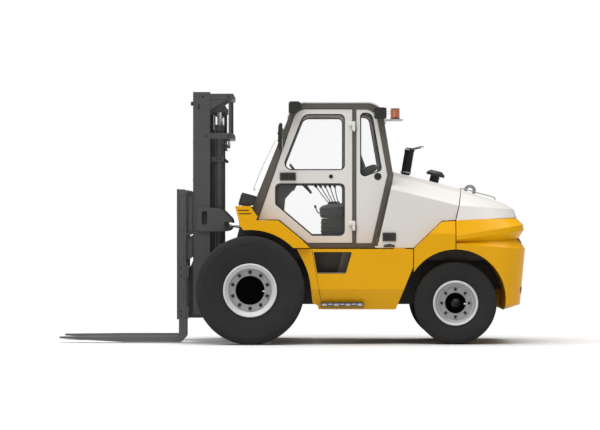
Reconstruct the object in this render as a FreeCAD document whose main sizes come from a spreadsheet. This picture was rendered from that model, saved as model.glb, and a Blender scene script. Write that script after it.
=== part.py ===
"""Rough-terrain forklift truck, an assembly of separate sub-parts.

X points forward along the forks, Y to the driver's left and Z up, in millimetres.
Every sub-part is drawn with X = 0 over the drive axle and Z = 0 on the ground.
Its Placement then moves it so that the truck is centred on the origin.
"""
import FreeCAD, Part
import Sketcher
import math
import os
import re
from FreeCAD import Rotation, Vector

# Driving dimensions, each written once. The sheet holds them under these names.
SIZES = {
    # wheels and axles
    "wheelbase": 2120,
    "front_tyre_dia": 1122,
    "front_tyre_width": 310,
    "front_track": 1730,
    "front_rim_dia": 544,
    "front_hub_dia": 302,
    "front_spindle_dia": 120,
    "rear_tyre_dia": 854,
    "rear_tyre_width": 235,
    "rear_track": 1504,
    "rear_rim_dia": 456,
    "rear_hub_dia": 218,
    "rear_spindle_dia": 90,
    "kingpin_spacing": 1200,
    "kingpin_dia": 44,
    "rim_wall": 12,
    "fit_gap": 0.09,
    "axle_tube_dia": 200,
    "diff_dia": 380,
    "steer_beam": 150,
    # chassis
    "rail_half": 250,
    "rail_thick": 20,
    "rail_top": 870,
    "rail_bottom": 400,
    "body_half": 920,
    "tank_inner": 620,
    "tank_front": 637,
    "tank_rear": 1680,
    "tank_top": 985,
    "tank_bottom": 362,
    "tank_crease": 573,
    "tank_tuck": 80,
    "pocket_depth": 200,
    "step_length": 426,
    "step_height": 32,
    # fenders
    "deck_top": 1281,
    "deck_thick": 19,
    "deck_inner": 600,
    "fender_outer": 970,
    "fender_inner": 735,
    "front_arch": 61,
    "rear_arch": 90,
    "rear_arch_lift": 38,
    # counterweight
    "tail_reach": 2852,
    "tail_start": 2125,
    "tail_corner": 300,
    "notch_depth": 50,
    "shoulder_tuck": 52,
    # cab
    "cab_half": 730,
    "cab_post": 75,
    "cab_rebate": 20,
    "cab_roof_top": 2494,
    "cab_floor_top": 1045,
    "cab_floor_thick": 45,
    "roof_shell": 14,
    "door_gap": 6,
    "door_lap": 20,
    "door_thick": 40,
    "glass": 6,
    "glass_lap": 20,
    "door_front": 81,
    "door_rear": 1056,
    "door_top": 2433,
    "door_bottom": 1048,
    "hinge_dia": 26,
    # hood
    "hood_half": 868,
    "hood_crease_half": 822,
    "hood_shoulder_half": 475,
    "hood_crown_half": 250,
    "hood_skin": 6,
    "hood_gap": 8,
    "hood_bottom": 996,
    "stack_dia": 90,
    "eye_dia": 127,
    "eye_bore": 62,
    "eye_thick": 36,
    # mast
    "mast_front": 600,
    "mast_depth": 178,
    "mast_top": 2618,
    "mast_bottom": 298,
    "mast_half": 550,
    "rail_flange": 80,
    "rail_web": 20,
    "rail_lip": 25,
    "slide_gap": 8,
    "seat_gap": 0.3,
    "pivot_x": 216,
    "pivot_z": 470,
    "pivot_dia": 60,
    "lift_cyl_dia": 88,
    "lift_rod_dia": 44,
    "lift_cyl_x": 330,
    "lift_cyl_y": 428,
    "lift_cyl_top": 2275,
    "tilt_cyl_dia": 84,
    "tilt_rod_dia": 44,
    "tilt_y": 605,
    "tilt_rear_x": 450,
    "tilt_rear_z": 1125,
    "tilt_pin_x": 255,
    "tilt_pin_z": 1243,
    "tilt_pin_dia": 34,
    "eye_slack": 12,
    # carriage and forks
    "fork_face": 751,
    "fork_length": 1250,
    "fork_thick": 62,
    "fork_width": 150,
    "fork_spacing": 800,
    "fork_low": 10,
    "carriage_half": 600,
    "backrest_top": 1607,
    "backrest_bottom": 251,
    # fittings
    "wheel_ring_dia": 360,
    "beacon_dia": 99,
    "lamp_depth": 115,
}

# Places worked out from the driving dimensions.
PLACES = {
    "front_hub_z": "front_tyre_dia / 2",
    "rear_hub_z": "rear_tyre_dia / 2",
    "front_arch_r": "front_tyre_dia / 2 + front_arch",
    "rear_arch_r": "rear_tyre_dia / 2 + rear_arch",
    "front_wheel_y": "front_track / 2",
    "rear_wheel_y": "rear_track / 2",
    "kingpin_y": "kingpin_spacing / 2",
    "centre_shift": "(tail_reach - fork_face - fork_length) / 2",
    "cab_inner": "cab_half - cab_post",
    "mast_rear": "mast_front - mast_depth",
    "door_outer": "cab_inner + cab_rebate + 7 + door_thick",
    "door_inner": "cab_inner + cab_rebate + 7",
    "hinge_y": "cab_half + hinge_dia / 2 + 5",
}

doc = FreeCAD.newDocument("Forklift")
dims = doc.addObject("Spreadsheet::Sheet", "Dims")
for row, (alias, size) in enumerate(SIZES.items(), start=1):
    dims.set(f"A{row}", alias)
    dims.set(f"B{row}", str(size))
    dims.setAlias(f"B{row}", alias)
doc.recompute()

NODES = {}


# ---------------------------------------------------------------- expressions

def cells(text):
    """Writes a formula of aliases and places as a formula of the sheet's cells."""
    def swap(match):
        word = match[0]
        if word in PLACES:
            return "(" + cells(PLACES[word]) + ")"
        return "Dims." + word if word in SIZES else word
    return re.sub(r"[a-z]\w*", swap, str(text))


def value(text):
    """Present value of a formula."""
    return float(dims.evalExpression(cells(text)))


def bind(thing, prop, text):
    thing.setExpression(prop, cells(text))


# ---------------------------------------------------------------- outlines

def unit(from_point, to_point):
    du = to_point[0] - from_point[0]
    dv = to_point[1] - from_point[1]
    size = math.hypot(du, dv)
    return du / size, dv / size


def spots(corners):
    return [(value(c[0]), value(c[1])) for c in corners]


def is_ccw(points):
    area = 0
    for (u1, v1), (u2, v2) in zip(points, points[1:] + points[:1]):
        area += u1 * v2 - u2 * v1
    return area > 0


def grow(corners, amount):
    """The outline moved outward by amount, its corner radii kept concentric."""
    points = spots(corners)
    side = 1 if is_ccw(points) else -1
    grown = []
    for i, corner in enumerate(corners):
        before = unit(points[i - 1], points[i])
        after = unit(points[i], points[(i + 1) % len(points)])
        bend = 1 + before[0] * after[0] + before[1] * after[1]
        mu = side * (before[1] + after[1]) / bend
        mv = -side * (before[0] + after[0]) / bend
        new = [f"{corner[0]} + {mu:.6f} * ({amount})", f"{corner[1]} + {mv:.6f} * ({amount})"]
        if len(corner) > 2:
            turn = before[0] * after[1] - before[1] * after[0]
            sign = "+" if turn * side > 0 else "-"
            radius = f"{corner[2]} {sign} ({amount})"
            if value(radius) > 1:
                new.append(radius)
        grown.append(tuple(new))
    return grown


def mirrored(corners):
    """The outline reflected in u = 0."""
    return [(f"-({c[0]})",) + tuple(c[1:]) for c in corners]


def draw(sketch, corners):
    """Adds a closed outline of (u, v) or (u, v, radius) corners, bound to the sheet."""
    points = spots(corners)
    count = len(corners)
    joints = []
    for i, corner in enumerate(corners):
        if len(corner) == 2:
            joints.append([(corner[0], corner[1])])
            continue
        back = unit(points[i], points[i - 1])
        ahead = unit(points[i], points[(i + 1) % count])
        half = math.acos(back[0] * ahead[0] + back[1] * ahead[1]) / 2
        reach = 1 / math.tan(half)
        ends = []
        for du, dv in (back, ahead):
            ends.append((f"{corner[0]} + {du * reach:.6f} * ({corner[2]})",
                         f"{corner[1]} + {dv * reach:.6f} * ({corner[2]})"))
        joints.append(ends)
    for i, ends in enumerate(joints):
        start = Vector(*map(value, ends[-1]), 0)
        finish = Vector(*map(value, joints[(i + 1) % count][0]), 0)
        geo = sketch.addGeometry(Part.LineSegment(start, finish), False)
        ends.append(geo)
    for i, ends in enumerate(joints):
        line_out = ends[-1]
        line_in = joints[i - 1][-1]
        fix(sketch, line_in, 2, ends[0])
        if len(ends) == 2:
            sketch.addConstraint(Sketcher.Constraint("Coincident", line_in, 2, line_out, 1))
            continue
        fix(sketch, line_out, 1, ends[1])
        add_corner_arc(sketch, ends, line_in, line_out, corners[i][2])


def add_corner_arc(sketch, ends, line_in, line_out, radius):
    """Joins two lines with an arc of the given radius."""
    first = Vector(*map(value, ends[0]), 0)
    last = Vector(*map(value, ends[1]), 0)
    into = sketch.Geometry[line_in]
    out = sketch.Geometry[line_out]
    way_in = into.EndPoint - into.StartPoint
    way_out = out.EndPoint - out.StartPoint
    left = way_in.x * way_out.y - way_in.y * way_out.x > 0
    size = value(radius)
    normal = Vector(-way_in.y, way_in.x, 0).normalize() * (size if left else -size)
    centre = first + normal
    a0 = math.atan2(first.y - centre.y, first.x - centre.x)
    a1 = math.atan2(last.y - centre.y, last.x - centre.x)
    if not left:
        a0, a1 = a1, a0
    if a1 < a0:
        a1 += 2 * math.pi
    circle = Part.Circle(centre, Vector(0, 0, 1), size)
    arc = sketch.addGeometry(Part.ArcOfCircle(circle, a0, a1), False)
    start, finish = (1, 2) if left else (2, 1)
    sketch.addConstraint(Sketcher.Constraint("Coincident", line_in, 2, arc, start))
    sketch.addConstraint(Sketcher.Constraint("Coincident", line_out, 1, arc, finish))
    index = sketch.addConstraint(Sketcher.Constraint("Radius", arc, size))
    bind(sketch, f"Constraints[{index}]", radius)


def fix(sketch, geo, end, place):
    """Holds one end of a line at a place given by two formulas."""
    for kind, text in zip(("DistanceX", "DistanceY"), place):
        rule = Sketcher.Constraint(kind, -1, 1, geo, end, value(text))
        index = sketch.addConstraint(rule)
        bind(sketch, f"Constraints[{index}]", text)


def draw_circle(sketch, u, v, radius):
    circle = Part.Circle(Vector(value(u), value(v), 0), Vector(0, 0, 1), value(radius))
    geo = sketch.addGeometry(circle, False)
    fix(sketch, geo, 3, (u, v))
    index = sketch.addConstraint(Sketcher.Constraint("Radius", geo, value(radius)))
    bind(sketch, f"Constraints[{index}]", radius)


# ---------------------------------------------------------------- bodies

NORMAL = {"XY": 1, "XZ": -1, "YZ": 1}


def new_body(name):
    return doc.addObject("PartDesign::Body", name)


def add_sketch(body, plane, loops, start, across="0", up="0"):
    """Sketch on one of the body's own origin planes, moved to start along its axis."""
    sketch = body.newObject("Sketcher::SketchObject", "outline")
    for feature in body.Origin.OriginFeatures:
        if feature.Role == plane + "_Plane":
            sketch.AttachmentSupport = [(feature, "")]
    sketch.MapMode = "FlatFace"
    bind(sketch, "AttachmentOffset.Base.x", across)
    bind(sketch, "AttachmentOffset.Base.y", up)
    bind(sketch, "AttachmentOffset.Base.z", f"{NORMAL[plane]} * ({start})")
    for loop in loops:
        if loop[0] == "circle":
            draw_circle(sketch, *loop[1:])
        else:
            draw(sketch, loop)
    return sketch


def pad(body, plane, loops, start, end):
    """Adds the outlines as material from start to end along the plane's axis."""
    feature = body.newObject("PartDesign::Pad", "pad")
    feature.Profile = add_sketch(body, plane, loops, start)
    feature.Reversed = NORMAL[plane] < 0
    bind(feature, "Length", f"({end}) - ({start})")
    body.Tip = feature
    return feature


def pocket(body, plane, loops, start, end):
    """Takes the outlines away from start to end along the plane's axis."""
    doc.recompute()
    before = body.Shape.Volume
    feature = body.newObject("PartDesign::Pocket", "pocket")
    feature.Profile = add_sketch(body, plane, loops, start)
    feature.Reversed = NORMAL[plane] > 0
    bind(feature, "Length", f"({end}) - ({start})")
    body.Tip = feature
    doc.recompute()
    if not body.Shape.Volume < before - 1:
        raise ValueError(f"{body.Name}: a pocket cuts nothing")
    return feature


def turn(body, axis, corners, centre, groove=False):
    """Turns (along, radius) corners about an axis through centre."""
    kind = "PartDesign::Groove" if groove else "PartDesign::Revolution"
    feature = body.newObject(kind, "turned")
    along_u = {"Y": "YZ", "X": "XY"}
    if axis == "Z":
        corners = [(c[1], c[0]) + tuple(c[2:]) for c in corners]
        sketch = add_sketch(body, "XZ", [corners], centre[1], across=centre[0])
        line = "V_Axis"
    elif axis == "Y":
        sketch = add_sketch(body, along_u[axis], [corners], centre[0], up=centre[1])
        line = "H_Axis"
    else:
        sketch = add_sketch(body, along_u[axis], [corners], centre[1], up=centre[0])
        line = "H_Axis"
    feature.Profile = sketch
    feature.ReferenceAxis = (sketch, [line])
    feature.Angle = 360
    body.Tip = feature
    return feature


def rect(u0, u1, v0, v1, radius=None):
    corners = [(u0, v0), (u1, v0), (u1, v1), (u0, v1)]
    if radius is not None:
        corners = [c + (radius,) for c in corners]
    return corners


# ---------------------------------------------------------------- primitives

def block(name, x, y, z):
    """Box from three (low, high) pairs of formulas."""
    box = doc.addObject("Part::Box", name)
    for prop, axis, (low, high) in zip(("Length", "Width", "Height"), "xyz", (x, y, z)):
        bind(box, prop, f"({high}) - ({low})")
        bind(box, "Placement.Base." + axis, low)
    return box


def rod(name, start, end, radius):
    """Round bar between two points of three formulas each."""
    bar = doc.addObject("Part::Cylinder", name)
    here = Vector(*map(value, start))
    there = Vector(*map(value, end))
    bar.Placement.Rotation = Rotation(Vector(0, 0, 1), there - here)
    for axis, text in zip("xyz", start):
        bind(bar, "Placement.Base." + axis, text)
    squares = [f"(({b}) - ({a}))^2" for a, b in zip(start, end)]
    bind(bar, "Height", "sqrt(" + " + ".join(squares) + ")")
    bind(bar, "Radius", radius)
    return bar


def fuse(name, things):
    joined = doc.addObject("Part::MultiFuse", name)
    joined.Shapes = things
    joined.Refine = True
    return joined


def subtract(name, base, tool):
    rest = doc.addObject("Part::Cut", name)
    rest.Base = base
    rest.Tool = tool
    return rest


def overlap(name, base, tool):
    shared = doc.addObject("Part::Common", name)
    shared.Base = base
    shared.Tool = tool
    return shared


def mirror(name, source):
    other = doc.addObject("Part::Mirroring", name)
    other.Source = source
    other.Normal = (0, 1, 0)
    return other


def group(name, things):
    bunch = doc.addObject("Part::Compound", name)
    bunch.Links = things
    return bunch


def free_sketch(name, corners, base, turn_axis, angle):
    """Outline on a plane of its own, for a loft."""
    sketch = doc.addObject("Sketcher::SketchObject", name)
    draw(sketch, corners)
    sketch.Placement.Rotation = Rotation(turn_axis, angle)
    for axis, text in zip("xyz", base):
        bind(sketch, "Placement.Base." + axis, text)
    return sketch


def loft(name, sketches):
    skin = doc.addObject("Part::Loft", name)
    skin.Sections = sketches
    skin.Solid = True
    skin.Ruled = True
    return skin


def keep(name, thing):
    """Names the finished sub-part and moves it to the truck's own frame."""
    thing.Label = name
    bind(thing, "Placement.Base.x", "centre_shift")
    NODES[name] = thing
    return thing


def keep_pair(name, left):
    """One sub-part of a left piece and its mirror image."""
    return keep(name, group(name, [left, mirror(name + "_other", left)]))


def keep_sides(name, left):
    """Two sub-parts, left and right."""
    keep(name + "_left", left)
    right = mirror(name + "_right", left)
    right.Label = name + "_right"
    NODES[name + "_right"] = right


# ---------------------------------------------------------------- chassis

def chassis_frame():
    """Two side rails with cross members, mast pivots and tilt cylinder lugs."""
    body = new_body("frame_body")
    rail = [(-2500, "rail_top"), (-2660, 560), (-1800, 560), (-1700, "rail_bottom"),
            (120, "rail_bottom"),
            ("pivot_x - 20", "pivot_z - 70"),
            ("pivot_x + 66", "pivot_z - 70", 60),
            ("pivot_x + 66", "pivot_z + 70", 60),
            ("pivot_x - 60", "pivot_z + 70"), (120, 640), (120, "rail_top")]
    pad(body, "XZ", [rail], "rail_half - rail_thick", "rail_half")
    for x0, x1, z0, z1 in ((60, 110, 775, "rail_top"), (-560, -380, 820, "rail_top"),
                           (-1240, -1180, 760, "rail_top"), (-1760, -1700, 760, "rail_top"),
                           (-2180, -2060, 560, 640)):
        pad(body, "XZ", [rect(x0, x1, z0, z1)], "-rail_half", "rail_half")
    pad(body, "XZ", [rail], "-rail_half", "rail_thick - rail_half")
    axle_hole = [["circle", 0, "front_hub_z", "axle_tube_dia / 2 + seat_gap"]]
    pocket(body, "XZ", axle_hole, "-rail_half - 1", "rail_half + 1")
    pin = [["circle", "pivot_x", "pivot_z", "pivot_dia / 2"]]
    pad(body, "XZ", pin, "-rail_half - 52", "rail_half + 52")
    for x0, x1, z0, z1 in ((-790, -720, 600, 680), (-1570, -1500, 600, 680)):
        pad(body, "XZ", [rect(x0, x1, z0, z1)], "-tank_inner", "tank_inner")
    pad(body, "XZ", [rect(-1760, -1700, 800, "rail_top")], "-deck_inner", "deck_inner")
    pad(body, "XZ", [rect(-500, -400, 835, "rail_top")], "-tilt_y - 45", "tilt_y + 45")
    lug = [("-tilt_rear_x - 50", "rail_top"), ("50 - tilt_rear_x", "rail_top"),
           ("45 - tilt_rear_x", "tilt_rear_z + 42", 30),
           ("-tilt_rear_x - 45", "tilt_rear_z + 42", 30)]
    pin = [["circle", "-tilt_rear_x", "tilt_rear_z", "tilt_pin_dia / 2"]]
    for side in (1, -1):
        for near, far in (("tilt_y - 42", "tilt_y - 25"), ("tilt_y + 25", "tilt_y + 42")):
            pad(body, "XZ", [lug], *spans(side, near, far))
        pad(body, "XZ", pin, *spans(side, "tilt_y - 42", "tilt_y + 42"))
        for x in (-760, -1240):
            post = rect(x, x + 80, "rail_top", "cab_floor_top - cab_floor_thick")
            pad(body, "XZ", [post], *spans(side, "rail_half - 60", "rail_half"))
    keep("chassis_frame", body)


def spans(side, near, far):
    """The pair (near, far) on the left, or its image on the right."""
    return (near, far) if side > 0 else (f"-({far})", f"-({near})")


def drive_axle():
    """Axle tube with differential, drum ends and the spindles of the drive wheels."""
    body = new_body("drive_axle_body")
    half = [(130, "diff_dia / 2", 60), (200, "axle_tube_dia / 2", 20), (620, "axle_tube_dia / 2"),
            (620, 140), ("front_wheel_y - 70", 140),
            ("front_wheel_y - 70", "front_spindle_dia / 2"),
            ("front_wheel_y + 55", "front_spindle_dia / 2")]
    line = [(c[0],) + c[1:] for c in half] + [("front_wheel_y + 55", 0)]
    other = [(f"-({c[0]})",) + c[1:] for c in reversed(line)]
    turn(body, "Y", other + line, (0, "front_hub_z"))
    keep("drive_axle", body)


def steer_axle():
    """Box beam with a yoke and kingpin at each end, carried by a centre trunnion."""
    body = new_body("steer_axle_body")
    beam = rect("-wheelbase - 70", "70 - wheelbase", "rear_hub_z - steer_beam / 2",
                "rear_hub_z + steer_beam / 2", 14)
    pad(body, "XZ", [beam], "-kingpin_y + 80", "kingpin_y - 80")
    trunnion = rect("-wheelbase - 50", "50 - wheelbase", "rear_hub_z", 560)
    pad(body, "XZ", [trunnion], -200, 200)
    pin = [["circle", "-wheelbase", "kingpin_y", "kingpin_dia / 2"]]
    for side in (1, -1):
        web = rect("-wheelbase - 60", "60 - wheelbase", "rear_hub_z - 112", "rear_hub_z + 112")
        pad(body, "XZ", [web], *spans(side, "kingpin_y - 100", "kingpin_y - 75"))
        arm = [("-wheelbase - 60", "kingpin_y - 76"), ("60 - wheelbase", "kingpin_y - 76"),
               ("60 - wheelbase", "kingpin_y + 58", 50), ("-wheelbase - 60", "kingpin_y + 58", 50)]
        hole = ["circle", "-wheelbase", "kingpin_y", "kingpin_dia / 2"]
        if side < 0:
            arm = [(c[0], f"-({c[1]})") + c[2:] for c in arm]
            hole = ["circle", "-wheelbase", "-kingpin_y", "kingpin_dia / 2"]
        pad(body, "XY", [arm], "rear_hub_z + 87", "rear_hub_z + 112")
        pad(body, "XY", [arm], "rear_hub_z - 112", "rear_hub_z - 87")
        pad(body, "XY", [hole], "rear_hub_z - 100", "rear_hub_z + 100")
    keep("steer_axle", body)


def knuckles():
    """Steered knuckle: a block on the kingpin and the wheel spindle."""
    body = new_body("knuckle_body")
    shell = [("-wheelbase - 46", "kingpin_y - 42", 20), ("46 - wheelbase", "kingpin_y - 42", 20),
             ("46 - wheelbase", "kingpin_y + 60"), ("-wheelbase - 46", "kingpin_y + 60")]
    bore = ["circle", "-wheelbase", "kingpin_y", "kingpin_dia / 2 + fit_gap"]
    pad(body, "XY", [shell, bore], "rear_hub_z - 80", "rear_hub_z + 80")
    spindle = [["circle", "-wheelbase", "rear_hub_z", "rear_spindle_dia / 2"]]
    pad(body, "XZ", spindle, "kingpin_y + 59", "rear_wheel_y + 62")
    keep_sides("knuckle", body)


# ---------------------------------------------------------------- wheels

def tyre(name, x, y, z, dia, width, rim_dia):
    """Smooth tyre with round shoulders."""
    body = new_body(name + "_tyre_body")
    radius = f"{dia} / 2"
    half = [("0.36 * " + width, f"{rim_dia} / 2"),
            ("0.43 * " + width, f"{rim_dia} / 2 + 14"),
            ("0.50 * " + width, f"{rim_dia} / 4 + {dia} / 4", f"0.3 * {width}"),
            ("0.455 * " + width, radius, f"0.16 * {width}")]
    near = [(f"{y} + {c[0]}",) + c[1:] for c in half]
    far = [(f"{y} - {c[0]}",) + c[1:] for c in reversed(half)]
    turn(body, "Y", near + far, (x, z))
    keep_sides("tyre_" + name, body)


def rim(name, x, y, z, width, rim_dia, hub_dia, spindle_dia, disc):
    """Rim barrel, bright outer ring, raised disc and hub plate on the spindle."""
    body = new_body(name + "_rim_body")
    outer = f"{rim_dia} / 2"
    corners = [(f"-0.42 * {width}", outer), (f"0.42 * {width}", outer),
               (f"0.42 * {width}", f"{outer} - rim_wall"),
               (f"{disc} + 16", f"{outer} - 48"), (f"{disc} + 16", f"{hub_dia} / 2"),
               (disc, f"{hub_dia} / 2"), (disc, f"{spindle_dia} / 2 + fit_gap"),
               (f"{disc} - 20", f"{spindle_dia} / 2 + fit_gap"),
               (f"{disc} - 20", f"{outer} - 60"),
               (f"{disc} - 24", f"{outer} - rim_wall"), (f"-0.42 * {width}", f"{outer} - rim_wall")]
    turn(body, "Y", [(f"{y} + {c[0]}",) + c[1:] for c in corners], (x, z))
    keep_sides("rim_" + name, body)


def wheels():
    tyre("front", 0, "front_wheel_y", "front_hub_z", "front_tyre_dia", "front_tyre_width",
         "front_rim_dia")
    rim("front", 0, "front_wheel_y", "front_hub_z", "front_tyre_width", "front_rim_dia",
        "front_hub_dia", "front_spindle_dia", 62)
    tyre("rear", "-wheelbase", "rear_wheel_y", "rear_hub_z", "rear_tyre_dia",
         "rear_tyre_width", "rear_rim_dia")
    rim("rear", "-wheelbase", "rear_wheel_y", "rear_hub_z", "rear_tyre_width",
        "rear_rim_dia", "rear_hub_dia", "rear_spindle_dia", 50)


# ---------------------------------------------------------------- body panels

def front_fenders():
    """Deck and side skin over the drive wheel, with the louvred box on top."""
    body = new_body("fender_body")
    side = [(117, "deck_top"), (-77, "deck_top"), (-289, "deck_top"), (-514, 1097), (-617, 997),
            ("-front_arch_r * 0.6", 997), (0, 997), (52, 1160), (117, 1240)]
    pad(body, "XZ", [side], "fender_inner", "fender_outer")
    deck = rect(-289, 60, "deck_top - deck_thick", "deck_top")
    pad(body, "XZ", [deck], "deck_inner", "fender_inner + 1")
    box = [(117, "deck_top - 1"), (156, 1429, 12), (-1, 1429, 8), (-77, 1318), (-60, "deck_top - 1")]
    pad(body, "XZ", [box], "fender_inner + 10", "fender_outer - 6")
    arch = [["circle", 0, "front_hub_z", "front_arch_r"]]
    pocket(body, "XZ", arch, "deck_inner - 1", "fender_outer + 1")
    keep_pair("front_fenders", body)


def side_tanks():
    """Tank under the cab side with the boarding pocket and the tucked lower edge."""
    body = new_body("tank_body")
    side = [(-484, 980), (-555, 846), (-617, 651), (-644, 429), (-700, 400),
            (-704, "tank_bottom"), (-1502, "tank_bottom", 12), ("-tank_rear", 801, 12),
            ("-tank_rear", "tank_top", 8), (-484, "tank_top")]
    pad(body, "XZ", [side], "tank_inner", "body_half")
    pocket(body, "XZ", [[(-652, 955, 12), (-690, 732, 10), (-985, 732, 10), (-1050, 955, 12)]],
           "body_half - pocket_depth", "body_half + 1")
    tuck = [("body_half + 1", "tank_crease"), ("body_half", "tank_crease"),
            ("body_half - tank_tuck", "tank_bottom - 1"), ("body_half + 1", "tank_bottom - 1")]
    pocket(body, "YZ", [tuck], "-tank_rear - 1", -300)
    foot = [["circle", 0, "front_hub_z", "front_arch_r"]]
    pocket(body, "XZ", foot, "tank_inner - 1", "body_half + 1")
    pocket(body, "XZ", [rect(-521, -470, 800, "tank_top + 1")], "tank_inner - 1", "tilt_y + 50")
    pad(body, "XZ", [rect(-1600, -1480, "tank_top - 1", "hood_bottom - seat_gap")],
        "hood_half - 14", "hood_half + 2")
    keep_pair("side_tanks", body)


def boarding_steps():
    """Serrated tread bar on the tucked lower edge of each tank."""
    body = new_body("step_body")
    top = "395 + step_height"
    tread = [(tank_side(395), 395), ("body_half + 4", 395), ("body_half + 4", top),
             (tank_side(top), top)]
    pad(body, "YZ", [tread], -1161, "step_length - 1161")
    keep_pair("boarding_steps", body)


def tank_side(height):
    """Half width of the tank's tucked lower side at a height."""
    return (f"body_half - tank_tuck * (tank_crease - ({height})) / (tank_crease - tank_bottom + 1)"
            " + seat_gap")


def rear_fenders():
    """Panel over each steered wheel, with a sloped shoulder and a round arch."""
    body = new_body("rear_fender_body")
    side = [("-tank_rear - 8", 700), ("-tank_rear - 8", 992), (-1979, 1268), (-2117, 1275),
            (-2117, 700)]
    pad(body, "XZ", [side], "deck_inner", "body_half")
    slope = [("body_half + 1", 1144), ("body_half", 1144), ("body_half - shoulder_tuck", 1284),
             ("body_half + 1", 1284)]
    pocket(body, "YZ", [slope], -2130, -1600)
    arch = [["circle", "-wheelbase", "rear_hub_z + rear_arch_lift", "rear_arch_r"]]
    pocket(body, "XZ", arch, "deck_inner - 1", "body_half + 1")
    keep_pair("rear_fenders", body)


def plan(half, rear, corner, start="-tail_start"):
    """Plan outline of the tail: square in front, round at the rear corners."""
    return [(start, half), (start, f"-({half})"), (rear, f"-({half})", corner),
            (rear, half, corner)]


def tilted_plan(name, half, rear, corner, height, slope):
    """Plan outline at a height over X = 0 that rises by slope towards the rear."""
    run = math.cos(math.atan(slope))
    corners = [(f"({c[0]}) / {run:.6f}",) + tuple(c[1:])
               for c in plan(half, rear, corner)]
    return free_sketch(name, corners, (0, 0, height), Vector(0, 1, 0),
                       math.degrees(math.atan(slope)))


def counterweight():
    """Cast tail weight: lower lobe, side notch, upper lobe and sloped shoulder."""
    w = "body_half"
    r = "tail_corner"
    levels = [(f"{w} - 30", "-tail_reach + 290", r, 332, 0),
              (f"{w} - 8", "-tail_reach + 52", r, 409, 0),
              (w, "-tail_reach", r, 1205, -0.078),
              (f"{w} - notch_depth", "-tail_reach + 69", f"{r} - 20", 938, 0.055),
              (w, "-tail_reach + 14", r, 785, 0.139),
              (w, "-tail_reach + 22", r, 770, 0.165),
              (f"{w} - shoulder_tuck", "-tail_reach + 93", f"{r} - 10", 1178, 0.048)]
    skins = []
    for i, (half, rear, corner, height, slope) in enumerate(levels):
        if i == 2:
            height = 1206
        base = height if slope == 0 else height
        skins.append(tilted_plan(f"weight_level_{i}", half, rear, corner, base, slope))
    solid = loft("weight_skin", skins)
    arch = rod("weight_arch", ("-wheelbase", "-body_half - 10", "rear_hub_z + rear_arch_lift"),
               ("-wheelbase", "body_half + 10", "rear_hub_z + rear_arch_lift"), "rear_arch_r")
    rails = block("weight_rails", (-2664, "1 - tail_start"),
                  ("-rail_half", "rail_half"), (560, "rail_top"))
    grille = block("weight_grille", ("-tail_reach - 10", "-tail_reach + 150"), (-300, 300),
                   (620, 940))
    hitch = block("weight_hitch", ("-tail_reach - 10", "-tail_reach + 110"), (-90, 90),
                  (450, 545))
    pin_hole = rod("weight_pin_hole", ("-tail_reach + 55", 0, 380), ("-tail_reach + 55", 0, 620),
                   17)
    keep("counterweight",
         subtract("weight", solid, fuse("weight_cuts", [arch, rails, grille, hitch, pin_hole])))


def rear_cowl():
    """Radiator cowl over the counterweight, a thin shell open below and in front."""
    outer = cowl_loft("cowl_outer", "0", "0")
    inner = cowl_loft("cowl_inner", "hood_skin", "1")
    shell = subtract("cowl_shell", outer, inner)
    slot = block("cowl_slot", (-2380, -2244), ("-eye_thick / 2 - 4", "eye_thick / 2 + 4"),
                 (1400, 1700))
    split = new_body("cowl_split_body")
    pad(split, "XZ", [[(-2100, 1270), ("-2119 - hood_gap", 1270), ("-2119 - hood_gap", 1284),
                       ("-2192 - hood_gap", 1591), ("-2280 - hood_gap", 1960), (-2100, 1960)]],
        -950, 950)
    keep("rear_cowl", subtract("cowl", shell, fuse("cowl_cuts", [slot, split])))


def cowl_loft(name, inset, drop):
    start = f"-tail_start + 10 * ({drop})"
    rows = [("hood_half", "-tail_reach + 85", "tail_corner - 10", 1178.5, 0.048),
            ("hood_crease_half", "-tail_reach + 114", "tail_corner - 30", 1589, -0.071),
            ("hood_shoulder_half", "-tail_reach + 140", 170, 2204.5, -0.2887),
            ("hood_crown_half", "-tail_reach + 167", 90, 2340, -0.3333)]
    skins = []
    for i, (half, rear, corner, height, slope) in enumerate(rows):
        fall = f"{height} - 1.05 * ({inset})" if i else f"{height} - 4 * ({drop})"
        run = math.cos(math.atan(slope))
        corners = [(f"({c[0]}) / {run:.6f}",) + tuple(c[1:])
                   for c in plan(f"{half} - ({inset})", f"{rear} + ({inset})",
                                 f"{corner} - ({inset})", start)]
        skins.append(free_sketch(f"{name}_{i}", corners, (0, 0, fall), Vector(0, 1, 0),
                                 math.degrees(math.atan(slope))))
    return loft(name, skins)


HOOD_LINES = {"crease": "1967 + 0.2482", "shoulder": "2125 + 0.2515", "crown": "2165 + 0.2515"}


def hood_height(kind, x):
    """Height of a hood line at x: crease, shoulder or crown."""
    return f"{HOOD_LINES[kind]} * ({x})"


def hood_section(name, x, corners):
    """Section across the hood at x, corners as (half width, height)."""
    sketch = doc.addObject("Sketcher::SketchObject", name)
    draw(sketch, corners)
    sketch.Placement.Rotation = Rotation(Vector(1, 1, 1), 120)
    bind(sketch, "Placement.Base.x", x)
    return sketch


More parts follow.
